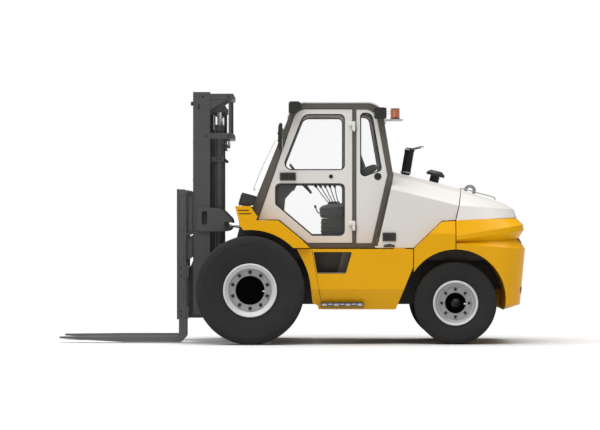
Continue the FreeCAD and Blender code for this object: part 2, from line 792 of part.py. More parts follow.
def hood_doors():
    """Gull-wing side door of the hood: flank, shoulder and top edge in one skin."""
    cuts = []
    for i, x in enumerate(("-1280", "-2230")):
        crease = hood_height("crease", x)
        shoulder = hood_height("shoulder", x)
        low = "hood_bottom"
        corners = [("hood_half", low), ("hood_crease_half", crease),
                   ("hood_shoulder_half", shoulder),
                   ("hood_shoulder_half", f"{shoulder} - 1.2 * hood_skin"),
                   ("hood_crease_half - hood_skin", f"{crease} - 0.6 * hood_skin"),
                   ("hood_half - hood_skin", low)]
        cuts.append(hood_section(f"hood_cut_{i}", x, corners))
    skin = loft("hood_skin_loft", cuts)
    body = new_body("hood_outline_body")
    side = [(-1312, "hood_bottom"), (-1449, 1592), (-1502, 1800), (-1530, 1900), (-2260, 1900),
            (-2192, 1591), (-2119, 1284), (-1981, 1277), (-1684, "hood_bottom")]
    pad(body, "XZ", [side], 0, 1000)
    keep_sides("hood", overlap("hood_side", skin, body))


def hood_spine():
    """Fixed centre strip of the hood between the two side doors."""
    rows = []
    for i, x in enumerate(("-1490", "-2192")):
        shoulder = hood_height("shoulder", x)
        crown = hood_height("crown", x)
        edge = "hood_shoulder_half - hood_gap"
        top = [(edge, f"{shoulder} + 1.4"), ("hood_crown_half", crown),
               ("-hood_crown_half", crown), (f"-({edge})", f"{shoulder} + 1.4")]
        under = [(f"-({edge})", f"{shoulder} - hood_skin"),
                 ("-hood_crown_half", f"{crown} - hood_skin"),
                 ("hood_crown_half", f"{crown} - hood_skin"), (edge, f"{shoulder} - hood_skin")]
        rows.append(hood_section(f"spine_cut_{i}", x, top + under))
    strip = loft("spine_strip", rows)
    rib = new_body("spine_rib_body")
    shoulder = hood_height("shoulder", -2110) + " + 1"
    crown = hood_height("crown", -2110) + " - 3"
    wall = [(-440, "rail_top"), (440, "rail_top"), (440, shoulder), ("hood_crown_half", crown),
            ("-hood_crown_half", crown), (-440, shoulder)]
    pad(rib, "YZ", [wall], -2110, -2096)
    keep("hood_spine", fuse("spine", [strip, rib]))


def engine_block():
    body = new_body("engine_body")
    pad(body, "XY", [rect(-2050, -1480, -300, 300, 30)], "rail_top", 1430)
    keep("engine_block", body)


def exhaust_stack():
    """Shielded exhaust pipe that leans back from the hood, with its rain cap lever."""
    foot = (-1624, 130, 1760.2)
    head = (-1669, 130, 2023)
    pipe = rod("stack_pipe", foot, head, "stack_dia / 2")
    clamp = rod("stack_clamp", (-1630, 130, 1772), (-1634, 130, 1800), "stack_dia / 2 + 6")
    lever = rod("stack_lever", (-1670, 130, 2020), (-1795, 130, 2046), 6)
    keep("exhaust_stack", fuse("stack", [pipe, clamp, lever]))


def air_precleaner():
    """Mushroom intake cap on its stem, square to the hood's slope."""
    stem = rod("intake_stem", (-1932, -120, 1679.4), (-1956, -120, 1776), 47)
    bowl = rod("intake_bowl", (-1950, -120, 1752), (-1956, -120, 1776), 98)
    cap = doc.addObject("Part::Cone", "intake_cap")
    cap.Radius1 = 98
    cap.Radius2 = 60
    cap.Height = 30
    cap.Placement = bowl.Placement
    cap.Placement.Base = Vector(-1956, -120, 1776)
    keep("air_precleaner", fuse("intake", [stem, bowl, cap]))


def lifting_eye():
    """Ring on a stem that stands on the counterweight and comes up through the cowl."""
    body = new_body("eye_body")
    stem = [(-2345, "1178.4 + 0.048 * 2345"), (-2285, "1178.4 + 0.048 * 2285"),
            (-2285, 1580), (-2345, 1580)]
    ring = [["circle", -2312, 1594, "eye_dia / 2"]]
    pad(body, "XZ", [stem], "-eye_thick / 2", "eye_thick / 2")
    pad(body, "XZ", ring, "-eye_thick / 2", "eye_thick / 2")
    hole = [["circle", -2312, 1594, "eye_bore / 2"]]
    pocket(body, "XZ", hole, "-eye_thick / 2 - 1", "eye_thick / 2 + 1")
    keep("lifting_eye", body)


# ---------------------------------------------------------------- cab

CAB_SIDE = [(31, 1285, 6), (-453, "cab_roof_top", 170), (-1356, "cab_roof_top", 170),
            (-1480, 1745, 60), (-1288, 994, 10), (-622, 994, 10), (-293, 1285, 6)]

DOOR_SIDE = [(-481, "door_top", 140), ("-door_rear", "door_top", 8),
             ("-door_rear", "door_bottom", 8), (-591, "door_bottom", 20), (-296, 1289, 20),
             ("-door_front", 1289, 12)]

QUARTER_SIDE = [(-1097, 2431, 8), (-1297, 2431, 130), (-1420, 1755, 40), (-1257, 1044, 15),
                (-1097, 1044, 8)]

QUARTER_WINDOW = [(-1137, 2397, 45), (-1262, 2397, 75), (-1366, 1800, 40), (-1137, 1715, 50)]

UPPER_WINDOW = [(-549, 2383, 90), (-979, 2383, 55), (-979, 1800, 55), (-318, 1800, 75)]

LOWER_WINDOW = [(-256, 1665, 50), (-979, 1665, 50), (-979, 1120, 55), (-641, 1120, 25),
                (-256, 1447, 30)]


def bare(corners):
    """The outline without its corner radii."""
    return [c[:2] for c in corners]


def cab_frame():
    """Two side frames tied by cross tubes, each with a door and a quarter opening."""
    body = new_body("cab_body")
    pad(body, "XZ", [CAB_SIDE], "cab_inner", "cab_half")
    for tube in (rect(-605, -540, 2428, 2488, 20), rect(-1285, -1220, 2414, 2474, 20),
                 rect(-1430, -1370, 1700, 1760, 20), rect(-80, -20, 1290, 1322, 8)):
        pad(body, "XZ", [tube], "-cab_inner - 1", "cab_inner + 1")
    pad(body, "XZ", [CAB_SIDE], "-cab_half", "-cab_inner")
    ring = "cab_inner + cab_rebate"
    for side in (1, -1):
        door = grow(DOOR_SIDE, "door_gap")
        pocket(body, "XZ", [door], *spans(side, ring, "cab_half + 1"))
        lap = grow(DOOR_SIDE, "-door_lap")
        pocket(body, "XZ", [lap], *spans(side, "cab_inner - 1", f"{ring} + 1"))
        pocket(body, "XZ", [QUARTER_SIDE], *spans(side, ring, "cab_half + 1"))
        window = grow(QUARTER_WINDOW, 12)
        pocket(body, "XZ", [window], *spans(side, "cab_inner - 1", f"{ring} + 1"))
        pad(body, "XZ", [rect(-240, -180, "deck_top", 1286)],
            *spans(side, "cab_inner + 2", "cab_inner + cab_rebate - 2"))
        for z in (2211, 1181):
            leaf = rect(-1100, -1072, z, z + 48)
            pad(body, "XZ", [leaf], *spans(side, "cab_half - 1", "cab_half + 14"))
            barrel = [["circle", -1072, "hinge_y" if side > 0 else "-hinge_y",
                       "hinge_dia / 2"]]
            pad(body, "XY", barrel, z, z + 48)
    keep("cab_frame", body)


def cab_roof():
    """Light shell that wraps over the top of the frame, front to rear."""
    body = new_body("roof_body")
    top = [(-403.4, 2370), (-453, "cab_roof_top", 170), (-1356, "cab_roof_top", 170),
           (-1388.1, 2300)]
    under, over = grow(top, 0.8), grow(top, "roof_shell")
    pad(body, "XZ", [under + list(reversed(over))], "-cab_half - 5", "cab_half + 5")
    keep("cab_roof", body)


def cab_floor():
    """Floor, sloped toe board, front panel and rear wall of the cab."""
    body = new_body("floor_body")
    plate = rect(-1262, -600, "cab_floor_top - cab_floor_thick", "cab_floor_top")
    pad(body, "XZ", [plate], "-cab_inner", "cab_inner")
    toe = [(-601, 1000), (-575, 1000), (-282, 1278), (-81, 1292), (-81, 1300), (-292, 1300),
           (-590, 1045), (-601, 1045)]
    pad(body, "XZ", [toe], "-tilt_y + 60", "tilt_y - 60")
    rear = [(-1252, 1000), (-1268, 1000), (-1460, 1742), (-1450, 1742), (-1258, 1045)]
    pad(body, "XZ", [rear], "-cab_inner", "cab_inner")
    keep("cab_floor", body)


def cab_quarter_panels():
    """Fixed panel behind each door, with its window opening."""
    body = new_body("quarter_body")
    ring = "cab_inner + cab_rebate"
    panel = grow(QUARTER_SIDE, -1)
    pad(body, "XZ", [panel, QUARTER_WINDOW], ring, "cab_half - 4")
    keep_pair("cab_quarter_panels", body)


def cab_glass():
    """Windscreen, rear window and quarter panes."""
    screen = new_body("screen_body")
    front = [(-62, 1322), ("glass - 62", 1324), ("-528 + glass", 2482), (-530, 2480)]
    front = [(-75, 1324), ("-75 + glass", 1324), ("-517 + glass", 2424), (-517, 2424)]
    pad(screen, "XZ", [front], "-cab_inner", "cab_inner")
    back = new_body("back_body")
    rear = [(-1335, 2424), (-1440, 1762), ("-1440 + glass", 1762), ("-1335 + glass", 2424)]
    pad(back, "XZ", [rear], "-cab_inner", "cab_inner")
    pane = new_body("pane_body")
    pad(pane, "XZ", [grow(QUARTER_WINDOW, 8)], "cab_inner + cab_rebate - glass",
        "cab_inner + cab_rebate")
    keep("cab_glass", group("panes", [screen, back, pane, mirror("pane_other", pane)]))


def doors():
    """Cab door with its upper and lower windows, handle box and hinges."""
    body = new_body("door_body")
    pad(body, "XZ", [DOOR_SIDE, UPPER_WINDOW, LOWER_WINDOW], "door_inner", "door_outer")
    pad(body, "XZ", [rect(-467, -309, 1697, 1772, 6)], "door_outer - 1", "door_outer + 18")
    for z in (2211, 1181):
        foot = f"{z} + 48 + seat_gap"
        head = z + 96
        pad(body, "XZ", [rect(-1050, -1018, foot, head)], "door_outer - 1", "cab_half + 6")
        pad(body, "XZ", [rect(-1072, -1018, foot, head)], "cab_half + 5", "cab_half + 14")
        barrel = [["circle", -1072, "hinge_y", "hinge_dia / 2"]]
        pad(body, "XY", barrel, foot, head)
    keep_sides("door", body)


def door_glass():
    """Both panes of the door, bonded to its inner face."""
    upper = new_body("upper_pane_body")
    pad(upper, "XZ", [grow(UPPER_WINDOW, "glass_lap / 2")], "door_inner - glass", "door_inner")
    lower = new_body("lower_pane_body")
    pad(lower, "XZ", [grow(LOWER_WINDOW, "glass_lap / 2")], "door_inner - glass", "door_inner")
    keep_sides("door_glass", group("door_panes", [upper, lower]))


def mirrors():
    """Rear-view mirror on an arm from each front post."""
    body = new_body("mirror_body")
    pad(body, "XZ", [rect(-330, -298, 2002, 2283, 12)], 830, 990)
    pad(body, "XZ", [rect(-326, -306, 2098, 2118)], "cab_half", 832)
    keep_pair("mirrors", body)


def lamps():
    """Headlamps on the louvred boxes and work lamps at the roof corners."""
    pieces = []
    head = new_body("headlamp_body")
    pad(head, "XZ", [[(82, 1570, 8), (-57, 1533, 8), (-38, 1443, 8), (121, 1434, 8)]], 770, 930)
    pad(head, "XZ", [rect(20, 60, 1429, 1450)], 830, 870)
    front = new_body("front_lamp_body")
    pad(front, "XZ", [[(-404, 2388, 20), (-404, 2506, 20), ("-404 - lamp_depth", 2506, 20),
                       ("-404 - lamp_depth", 2434), ("-345 - lamp_depth", 2388)]],
        "cab_half + 14", "cab_half + 130")
    pad(front, "XZ", [rect(-480, -450, 2420, 2450)], "cab_half + 5", "cab_half + 15")
    rear = new_body("rear_lamp_body")
    pad(rear, "XZ", [rect("-1400", "-1400 + lamp_depth", 2330, 2448, 20)], "cab_half + 14",
        "cab_half + 130")
    pad(rear, "XZ", [rect(-1350, -1320, 2370, 2400)], "cab_half", "cab_half + 15")
    for piece in (head, front, rear):
        pieces += [piece, mirror(piece.Name + "_other", piece)]
    keep("lamps", group("lamp_set", pieces))


def beacon():
    """Amber beacon on a shelf behind the roof."""
    body = new_body("beacon_body")
    pad(body, "XZ", [[(-1582, 2317), (-1399.7, 2317), (-1396.8, 2335), (-1582, 2335)]], 430, 550)
    turn(body, "Z", [(2334, 0), (2334, "beacon_dia / 2"), (2449, "beacon_dia / 2", 25),
                     (2449, 0)], (-1506, 490))
    keep("beacon", body)


# ---------------------------------------------------------------- cab interior

def interior():
    base = new_body("seat_base_body")
    pad(base, "XZ", [rect(-1140, -740, "cab_floor_top", 1296, 12)], -220, 220)
    keep("seat_base", base)
    cushion = new_body("cushion_body")
    pad(cushion, "XZ", [[(-718, 1296.4, 30), (-718, 1462, 50), (-1040, 1430, 30),
                         (-1040, 1296.4, 10)]], -250, 250)
    keep("seat_cushion", cushion)
    back = new_body("backrest_body")
    pad(back, "XZ", [[(-1041, 1296.4, 10), (-1041, 1440), (-1232, 2080, 30), (-1310, 2091, 30),
                      (-1180, 1296.4, 20)]],
        -240, 240)
    keep("seat_backrest", back)
    dash = new_body("dash_body")
    pad(dash, "XZ", [[(-260, 1657, 10), (-483, 1646, 10), (-440, 1600), (-357, 1508),
                      (-340, 1300), (-180, 1300)]], -280, 280)
    keep("dashboard", dash)
    ring = doc.addObject("Part::Torus", "wheel_ring")
    bind(ring, "Radius1", "wheel_ring_dia / 2")
    ring.Radius2 = 14
    ring.Placement = FreeCAD.Placement(Vector(-520, 0, 1720),
                                       Rotation(Vector(0, 0, 1), Vector(-144, 0, 106)))
    spoke = rod("wheel_spoke", (-520, "-wheel_ring_dia / 2", 1720),
                (-520, "wheel_ring_dia / 2", 1720), 11)
    column = rod("wheel_column", (-520, 0, 1720), (-446, 0, 1665.4), 22)
    keep("steering_wheel", fuse("wheel_of_cab", [ring, spoke, column]))
    parts = [block("lever_console", (-960, -800), (-360, -262), ("cab_floor_top", 1470))]
    for i in range(5):
        x = -820 - 30 * i
        parts.append(rod(f"lever_{i}", (x, -310, 1460), (x + 60, -310, 1640), 9))
    keep("control_levers", fuse("levers", parts))


# ---------------------------------------------------------------- mast

def channel(rear, front, outer, depth, web, lip):
    """Channel section in plan with its open side towards the truck's middle."""
    inner = f"({outer}) - ({depth})"
    return [(rear, inner), (rear, outer), (front, outer), (front, inner),
            (f"({front}) - ({lip})", inner), (f"({front}) - ({lip})", f"({outer}) - ({web})"),
            (f"({rear}) + ({lip})", f"({outer}) - ({web})"), (f"({rear}) + ({lip})", inner)]


def flipped(corners):
    """The plan outline reflected to the right-hand side."""
    return [(c[0], f"-({c[1]})") + tuple(c[2:]) for c in corners]


def outer_mast():
    """Fixed mast rails with looped cross members, cylinder seats and tilt brackets."""
    body = new_body("outer_mast_body")
    rail = channel("mast_rear", "mast_front", "mast_half", "rail_flange", "rail_web", "rail_lip")
    pad(body, "XY", [rail], "mast_bottom", "mast_top")
    low = rect("mast_rear - 17", "mast_rear + 20", 380, 600)
    pad(body, "XZ", [low], "-mast_half", "mast_half")
    pad(body, "XY", [flipped(rail)], "mast_bottom", "mast_top")
    for z0, z1, front in ((2544, 2601, "mast_front - 26"), (2130, 2190, "mast_front - 73")):
        for side in (1, -1):
            pad(body, "XZ", [rect(180, front, z0, z1, 6)],
                *spans(side, "mast_half - rail_web", "mast_half - 1"))
        pad(body, "XZ", [rect(180, 236, z0, z1, 6)], "-mast_half + 1", "mast_half - 1")
    foot = [("mast_rear", 400), ("mast_rear", 600), ("pivot_x - 62", "pivot_z + 62", 60),
            ("pivot_x - 62", "pivot_z - 62", 60)]
    bore = ["circle", "pivot_x", "pivot_z", "pivot_dia / 2 + fit_gap"]
    for side in (1, -1):
        pad(body, "XZ", [foot, bore], *spans(side, "rail_half + 12", "rail_half + 42"))
        pad(body, "XZ", [rect(280, "mast_rear", 380, 420)],
            *spans(side, "lift_cyl_y - 48", "lift_cyl_y + 48"))
        pad(body, "XZ", [rect(284, "mast_rear + 1", 1895, 1947)],
            *spans(side, "lift_cyl_y - 50", "lift_cyl_y + 50"))
        pad(body, "XZ", [[(443, 2545), (243, 2545), (443, 2417)]],
            *spans(side, "mast_half - rail_web", "mast_half - 5"))
        sign = "" if side > 0 else "-"
        pad(body, "XY", [["circle", 216, f"{sign}(mast_half - 18)", 15]], 2180, 2550)
        ring = [["circle", "lift_cyl_x", f"{sign}lift_cyl_y", "lift_cyl_dia / 2"]]
        pocket(body, "XY", ring, 1890, 1950)
        plate = [(571, 1190, 20), (545, 1426, 20), (300, 1400, 60), (189, 1290, 70),
                 (200, 1166, 60), (540, 1166, 20)]
        window = [(453, 1235, 26), (507, 1235, 26), (507, 1377, 26), (453, 1377, 26)]
        pad(body, "XZ", [plate, window], *spans(side, "mast_half - 1", "mast_half + 22"))
        pin = [["circle", "tilt_pin_x", "tilt_pin_z", "tilt_pin_dia / 2"]]
        pad(body, "XZ", pin, *spans(side, "mast_half + 10", "tilt_y + 34"))
    keep("outer_mast", body)


def lift_cylinders():
    body = new_body("lift_body")
    barrel = "lift_cyl_dia / 2"
    turn(body, "Z", [(420, 0), (420, barrel), ("lift_cyl_top - 66", barrel),
                     ("lift_cyl_top - 66", f"{barrel} + 6", 4), ("lift_cyl_top", f"{barrel} + 6", 8),
                     ("lift_cyl_top", "lift_rod_dia / 2 + seat_gap"),
                     ("lift_cyl_top - 40", "lift_rod_dia / 2 + seat_gap"),
                     ("lift_cyl_top - 40", f"{barrel} - 12"), (450, f"{barrel} - 12"),
                     (450, 0)], ("lift_cyl_x", "lift_cyl_y"))
    keep_pair("lift_cylinders", body)


def inner_mast():
    """Sliding mast rails with top and bottom ties and the rod brackets."""
    body = new_body("inner_mast_body")
    rear = "mast_rear + rail_lip + slide_gap"
    front = "mast_front - rail_lip - slide_gap"
    outer = "mast_half - rail_web - slide_gap"
    rail = channel(rear, front, outer, 90, 18, 22)
    pad(body, "XY", [rail], 340, 2520)
    pad(body, "XZ", [rect(rear, f"{rear} + 22", 2420, 2500)], f"-({outer})", outer)
    pad(body, "XZ", [rect(rear, f"{rear} + 22", 345, 425)], f"-({outer}) + 1", f"{outer} - 1")
    pad(body, "XY", [flipped(rail)], 340, 2520)
    for side in (1, -1):
        shoe = rect(f"{rear} + 36", f"{front} - 36", 350, 440, 6)
        pad(body, "XZ", [shoe], *spans(side, f"{outer} - 1", f"{outer} + slide_gap - seat_gap"))
        pad(body, "XZ", [[(256, 2409), (256, 2470, 10), (300, 2500, 10), (f"{rear} + 2", 2500),
                          (f"{rear} + 2", 2409)]],
            *spans(side, "lift_cyl_y - 35", "lift_cyl_y + 35"))
    keep("inner_mast", body)


def lift_rods():
    body = new_body("lift_rod_body")
    turn(body, "Z", [(600, 0), (600, "lift_rod_dia / 2"), (2409, "lift_rod_dia / 2"),
                     (2409, 0)], ("lift_cyl_x", "lift_cyl_y"))
    keep_pair("lift_rods", body)


def fork_carriage():
    """Carriage: fork bars, side plates and the slide bars inside the inner rails."""
    body = new_body("carriage_body")
    back = "fork_face - fork_thick"
    for z0, z1 in ((690, 790), (262, 362)):
        pad(body, "XZ", [rect(f"{back} - 46", back, z0, z1, 4)], "-carriage_half",
            "carriage_half")
        if z0 == 690:
            pad(body, "XZ", [rect(f"{back} - 44", f"{back} - 4", 300, 740)], -60, 60)
    rear = "mast_rear + rail_lip + slide_gap + 29"
    for side in (1, -1):
        pad(body, "XZ", [[(rear, 262), (rear, 900, 20), (f"{back} - 100", 900, 60),
                          (f"{back} - 44", 760), (f"{back} - 44", 262)]],
            *spans(side, 396, 425))
        pad(body, "XZ", [rect(rear, "mast_front - rail_lip - slide_gap - 29", 270, 880, 6)],
            *spans(side, 424, "mast_half - rail_web - slide_gap - 25"))
        for z in (280, 780):
            shoe = rect(f"{rear} + 10", f"{rear} + 44", z, z + 90)
            pad(body, "XZ", [shoe], *spans(side, "mast_half - rail_web - slide_gap - 26",
                                           "mast_half - rail_web - slide_gap - 18 - seat_gap"))
    keep("fork_carriage", body)


def load_backrest():
    """Frame in front of the carriage that keeps the load off the mast."""
    body = new_body("backrest_frame_body")
    back = "fork_face - fork_thick"
    face = "fork_face + 16"
    pad(body, "XZ", [rect("fork_face - 2", face, "backrest_top - 50", "backrest_top", 4)],
        "-carriage_half", "carriage_half")
    pad(body, "XZ", [rect("fork_face - 2", face, 850, 890, 4)], "-carriage_half",
        "carriage_half")
    for side in (1, -1):
        pad(body, "XZ", [rect("fork_face - 2", face, "backrest_bottom", "backrest_top")],
            *spans(side, "carriage_half - 45", "carriage_half"))
        for z0, z1 in ((690, 790), (262, 362)):
            pad(body, "XZ", [rect(back, "fork_face", z0, z1)],
                *spans(side, "carriage_half - 45", "carriage_half"))
        for y in (90, 260, 430):
            pad(body, "XZ", [rect("fork_face", f"{face} - 2", 851, "backrest_top - 1")],
                *spans(side, y - 11, y + 11))
    keep("load_backrest", body)


def forks():
    """Forged L-shaped fork with a tapered blade and a rounded tip."""
    body = new_body("fork_body")
    back = "fork_face - fork_thick"
    top = "fork_low + fork_thick"
    tip = "fork_face + fork_length"
    side = [(back, 830, 10), ("fork_face - 14", 830, 10), ("fork_face", 700),
            ("fork_face", top, 22), ("fork_face + 0.46 * fork_length", top),
            (tip, f"{top} - 6"), (tip, "fork_low + 38"),
            ("fork_face + 0.46 * fork_length", "fork_low"), (back, "fork_low", 60)]
    edge = "fork_spacing / 2 + fork_width / 2"
    pad(body, "XZ", [side], f"{edge} - fork_width", edge)
    shape = new_body("fork_plan_body")
    plan_view = [(f"{back} - 1", f"{edge} - fork_width"), (f"{tip} - 260", f"{edge} - fork_width"),
                 (tip, f"{edge} - fork_width + 28", 30), (tip, f"{edge} - 28", 30),
                 (f"{tip} - 260", edge), (f"{back} - 1", edge)]
    pad(shape, "XY", [plan_view], 0, 900)
    fork = overlap("fork_blank", body, shape)
    keep_pair("forks", fork)


def tilt_cylinders():
    """Tilt cylinders drawn along X from their rear pin, then turned to their line."""
    reach = "sqrt((tilt_pin_x + tilt_rear_x)^2 + (tilt_pin_z - tilt_rear_z)^2)"
    PLACES["tilt_reach"] = reach
    barrel = new_body("tilt_barrel_body")
    outer = "tilt_cyl_dia / 2"
    pad(barrel, "XZ", [["circle", 0, 0, 36]], -20, 20)
    turn(barrel, "X", [(15, 0), (15, 18), (62, 18), (62, outer, 6), (440, outer, 6),
                       (440, "tilt_rod_dia / 2 + seat_gap"), (405, "tilt_rod_dia / 2 + seat_gap"),
                       (405, f"{outer} - 12"), (80, f"{outer} - 12"), (80, 0)], (0, 0))
    bore = [["circle", 0, 0, "tilt_pin_dia / 2 + fit_gap"]]
    pocket(barrel, "XZ", bore, -21, 21)
    plunger = new_body("tilt_rod_body")
    pad(plunger, "XZ", [["circle", "tilt_reach", 0, "tilt_pin_dia / 2 + eye_slack + 9"]],
        -18, 18)
    turn(plunger, "X", [(230, 0), (230, "tilt_rod_dia / 2"),
                        ("tilt_reach - 35", "tilt_rod_dia / 2"), ("tilt_reach - 35", 0)], (0, 0))
    eye = [["circle", "tilt_reach", 0, "tilt_pin_dia / 2 + eye_slack"]]
    pocket(plunger, "XZ", eye, -21, 21)
    line = Vector(value("tilt_pin_x + tilt_rear_x"), 0, value("tilt_pin_z - tilt_rear_z"))
    for name, body in (("tilt_barrels", barrel), ("tilt_rods", plunger)):
        body.Placement.Rotation = Rotation(Vector(1, 0, 0), line)
        bind(body, "Placement.Base.x", "-tilt_rear_x")
        bind(body, "Placement.Base.y", "tilt_y")
        bind(body, "Placement.Base.z", "tilt_rear_z")
        keep_pair(name, body)


# ---------------------------------------------------------------- assembly

for build in (chassis_frame, drive_axle, steer_axle, knuckles, wheels, front_fenders, side_tanks,
              boarding_steps, rear_fenders, counterweight, rear_cowl, hood_doors, hood_spine,
              engine_block, exhaust_stack, air_precleaner, lifting_eye, cab_frame, cab_roof,
              cab_floor, cab_quarter_panels, cab_glass, doors, door_glass, mirrors, lamps, beacon,
              interior, outer_mast, lift_cylinders, inner_mast, lift_rods, fork_carriage,
              load_backrest, forks, tilt_cylinders):
    build()

doc.recompute()
for thing in doc.Objects:
    if "Invalid" in thing.State or "Error" in thing.State:
        raise RuntimeError(f"{thing.Name} failed: {thing.getStatusString()}")

os.makedirs("parts", exist_ok=True)
for name, thing in NODES.items():
    if thing.Shape.isNull() or not thing.Shape.isValid() or not thing.Shape.Solids:
        raise RuntimeError(f"{name} has no valid solid")
    thing.Shape.exportStep(f"parts/{name}.step")
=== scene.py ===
"""Rough-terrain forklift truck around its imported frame. Metres, X forward, Y left, Z up."""

import math

import bmesh
import bpy
from mathutils import Matrix, Vector
from mathutils.bvhtree import BVHTree


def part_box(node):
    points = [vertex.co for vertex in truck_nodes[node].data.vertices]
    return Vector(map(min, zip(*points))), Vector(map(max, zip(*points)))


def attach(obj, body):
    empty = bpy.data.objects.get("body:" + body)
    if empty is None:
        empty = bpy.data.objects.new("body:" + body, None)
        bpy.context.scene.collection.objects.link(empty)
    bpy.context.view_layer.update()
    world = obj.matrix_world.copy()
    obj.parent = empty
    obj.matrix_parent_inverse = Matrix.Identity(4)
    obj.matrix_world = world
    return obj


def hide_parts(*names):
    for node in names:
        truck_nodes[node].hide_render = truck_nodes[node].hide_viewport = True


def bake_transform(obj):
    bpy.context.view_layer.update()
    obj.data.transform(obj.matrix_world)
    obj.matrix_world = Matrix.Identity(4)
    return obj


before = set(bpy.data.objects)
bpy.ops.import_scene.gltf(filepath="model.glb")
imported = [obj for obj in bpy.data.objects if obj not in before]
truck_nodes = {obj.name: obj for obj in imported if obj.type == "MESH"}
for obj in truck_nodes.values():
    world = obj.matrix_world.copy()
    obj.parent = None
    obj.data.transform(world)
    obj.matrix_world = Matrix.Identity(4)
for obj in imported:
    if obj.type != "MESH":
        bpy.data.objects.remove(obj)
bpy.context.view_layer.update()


# ---- Studio -------------------------------------------------------------------------------------
# A pale floor under a wide overhead bank and a weak bank in front, seen square from the truck's
# left side through a long lens at chest height.

scene = bpy.context.scene
scene.view_settings.view_transform = "Standard"
scene.view_settings.look = "None"

tyre_low, tyre_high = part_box("tyre_front_left")
front_axle_x = (tyre_low.x + tyre_high.x) / 2


def at(x, y, z):
    """A point given in millimetres from the front axle's line, the middle plane and the ground."""
    return Vector((front_axle_x + x / 1000, y / 1000, z / 1000))


CAMERA_STAND = (-514, 34000, 1336.5)
LONG_LENS, FILM_WIDTH = 192.7, 36
camera_data = bpy.data.cameras.new("studio_camera")
camera_data.sensor_width = FILM_WIDTH
camera_data.lens = LONG_LENS
camera_data.clip_end = 200
camera = bpy.data.objects.new("studio_camera", camera_data)
scene.collection.objects.link(camera)
camera.location = at(*CAMERA_STAND)
camera.rotation_euler = (math.radians(90), 0, math.radians(180))
scene.camera = camera

SKY_LIGHT, SKY_SEEN = 0.27, 1.0
world = bpy.data.worlds.new("studio_air")
world.use_nodes = True
air = world.node_tree.nodes["Background"]
air.inputs["Color"].default_value = (1, 1, 1, 1)
seen = world.node_tree.nodes.new("ShaderNodeLightPath")
level = world.node_tree.nodes.new("ShaderNodeMapRange")
level.inputs["To Min"].default_value = SKY_LIGHT
level.inputs["To Max"].default_value = SKY_SEEN
world.node_tree.links.new(seen.outputs["Is Camera Ray"], level.inputs["Value"])
world.node_tree.links.new(level.outputs[0], air.inputs["Strength"])
scene.world = world


def hung(data, place, ahead):
    """A lamp at place, shining along ahead."""
    lamp = bpy.data.objects.new(data.name, data)
    scene.collection.objects.link(lamp)
    lamp.location = place
    lamp.rotation_euler = Vector(ahead).to_track_quat("-Z", "Y").to_euler()


overhead = bpy.data.lights.new("overhead_bank", "SUN")
overhead.energy = 5.0
overhead.angle = math.radians(80)
hung(overhead, (0, 0, 0), (-0.16, -0.10, -1))
front_bank = bpy.data.lights.new("front_bank", "AREA")
front_bank.shape = "RECTANGLE"
front_bank.size, front_bank.size_y = 4, 4
front_bank.energy = 45
hung(front_bank, (6.5, 6.0, 5.0), (-6.5, -6.0, -4.0))

floor_mesh = bpy.data.meshes.new("studio_floor")
floor_half = 60
floor_mesh.from_pydata([(-floor_half, -floor_half, 0), (floor_half, -floor_half, 0),
                        (floor_half, floor_half, 0), (-floor_half, floor_half, 0)],
                       [], [(0, 1, 2, 3)])
studio_floor = bpy.data.objects.new("studio_floor", floor_mesh)
scene.collection.objects.link(studio_floor)
floor_paint = bpy.data.materials.new("floor_paper")
floor_paint.use_nodes = True
floor_shader = floor_paint.node_tree.nodes["Principled BSDF"]
floor_shader.inputs["Base Color"].default_value = (0.59, 0.59, 0.59, 1)
floor_shader.inputs["Roughness"].default_value = 0.9
floor_shader.inputs["Specular IOR Level"].default_value = 0.1
floor_mesh.materials.append(floor_paint)


# ---- Chassis and axles --------------------------------------------------------------------------
# Two plate rails with cross tubes, the drive axle with its bowl in the middle and the steered rear
# beam. Cut and welded steel under dark satin paint, dusty low down.

def new_group(name, inputs, outputs):
    """An empty shader group with float inputs (name, default) and outputs (name, socket type)."""
    tree = bpy.data.node_groups.new(name, "ShaderNodeTree")
    for label, default in inputs:
        socket = tree.interface.new_socket(label, in_out="INPUT", socket_type="NodeSocketFloat")
        socket.default_value = default
        socket.min_value, socket.max_value = 0, 10000
    for label, kind in outputs:
        tree.interface.new_socket(label, in_out="OUTPUT", socket_type=kind)
    return tree, tree.nodes.new("NodeGroupInput"), tree.nodes.new("NodeGroupOutput")


def node(tree, kind, values=None, **settings):
    """A node of a kind with its settings, and links or plain values for its inputs."""
    made = tree.nodes.new("ShaderNode" + kind)
    for key, setting in settings.items():
        setattr(made, key, setting)
    for key, given in (values or {}).items():
        if isinstance(given, bpy.types.NodeSocket):
            tree.links.new(given, made.inputs[key])
        else:
            made.inputs[key].default_value = given
    return made


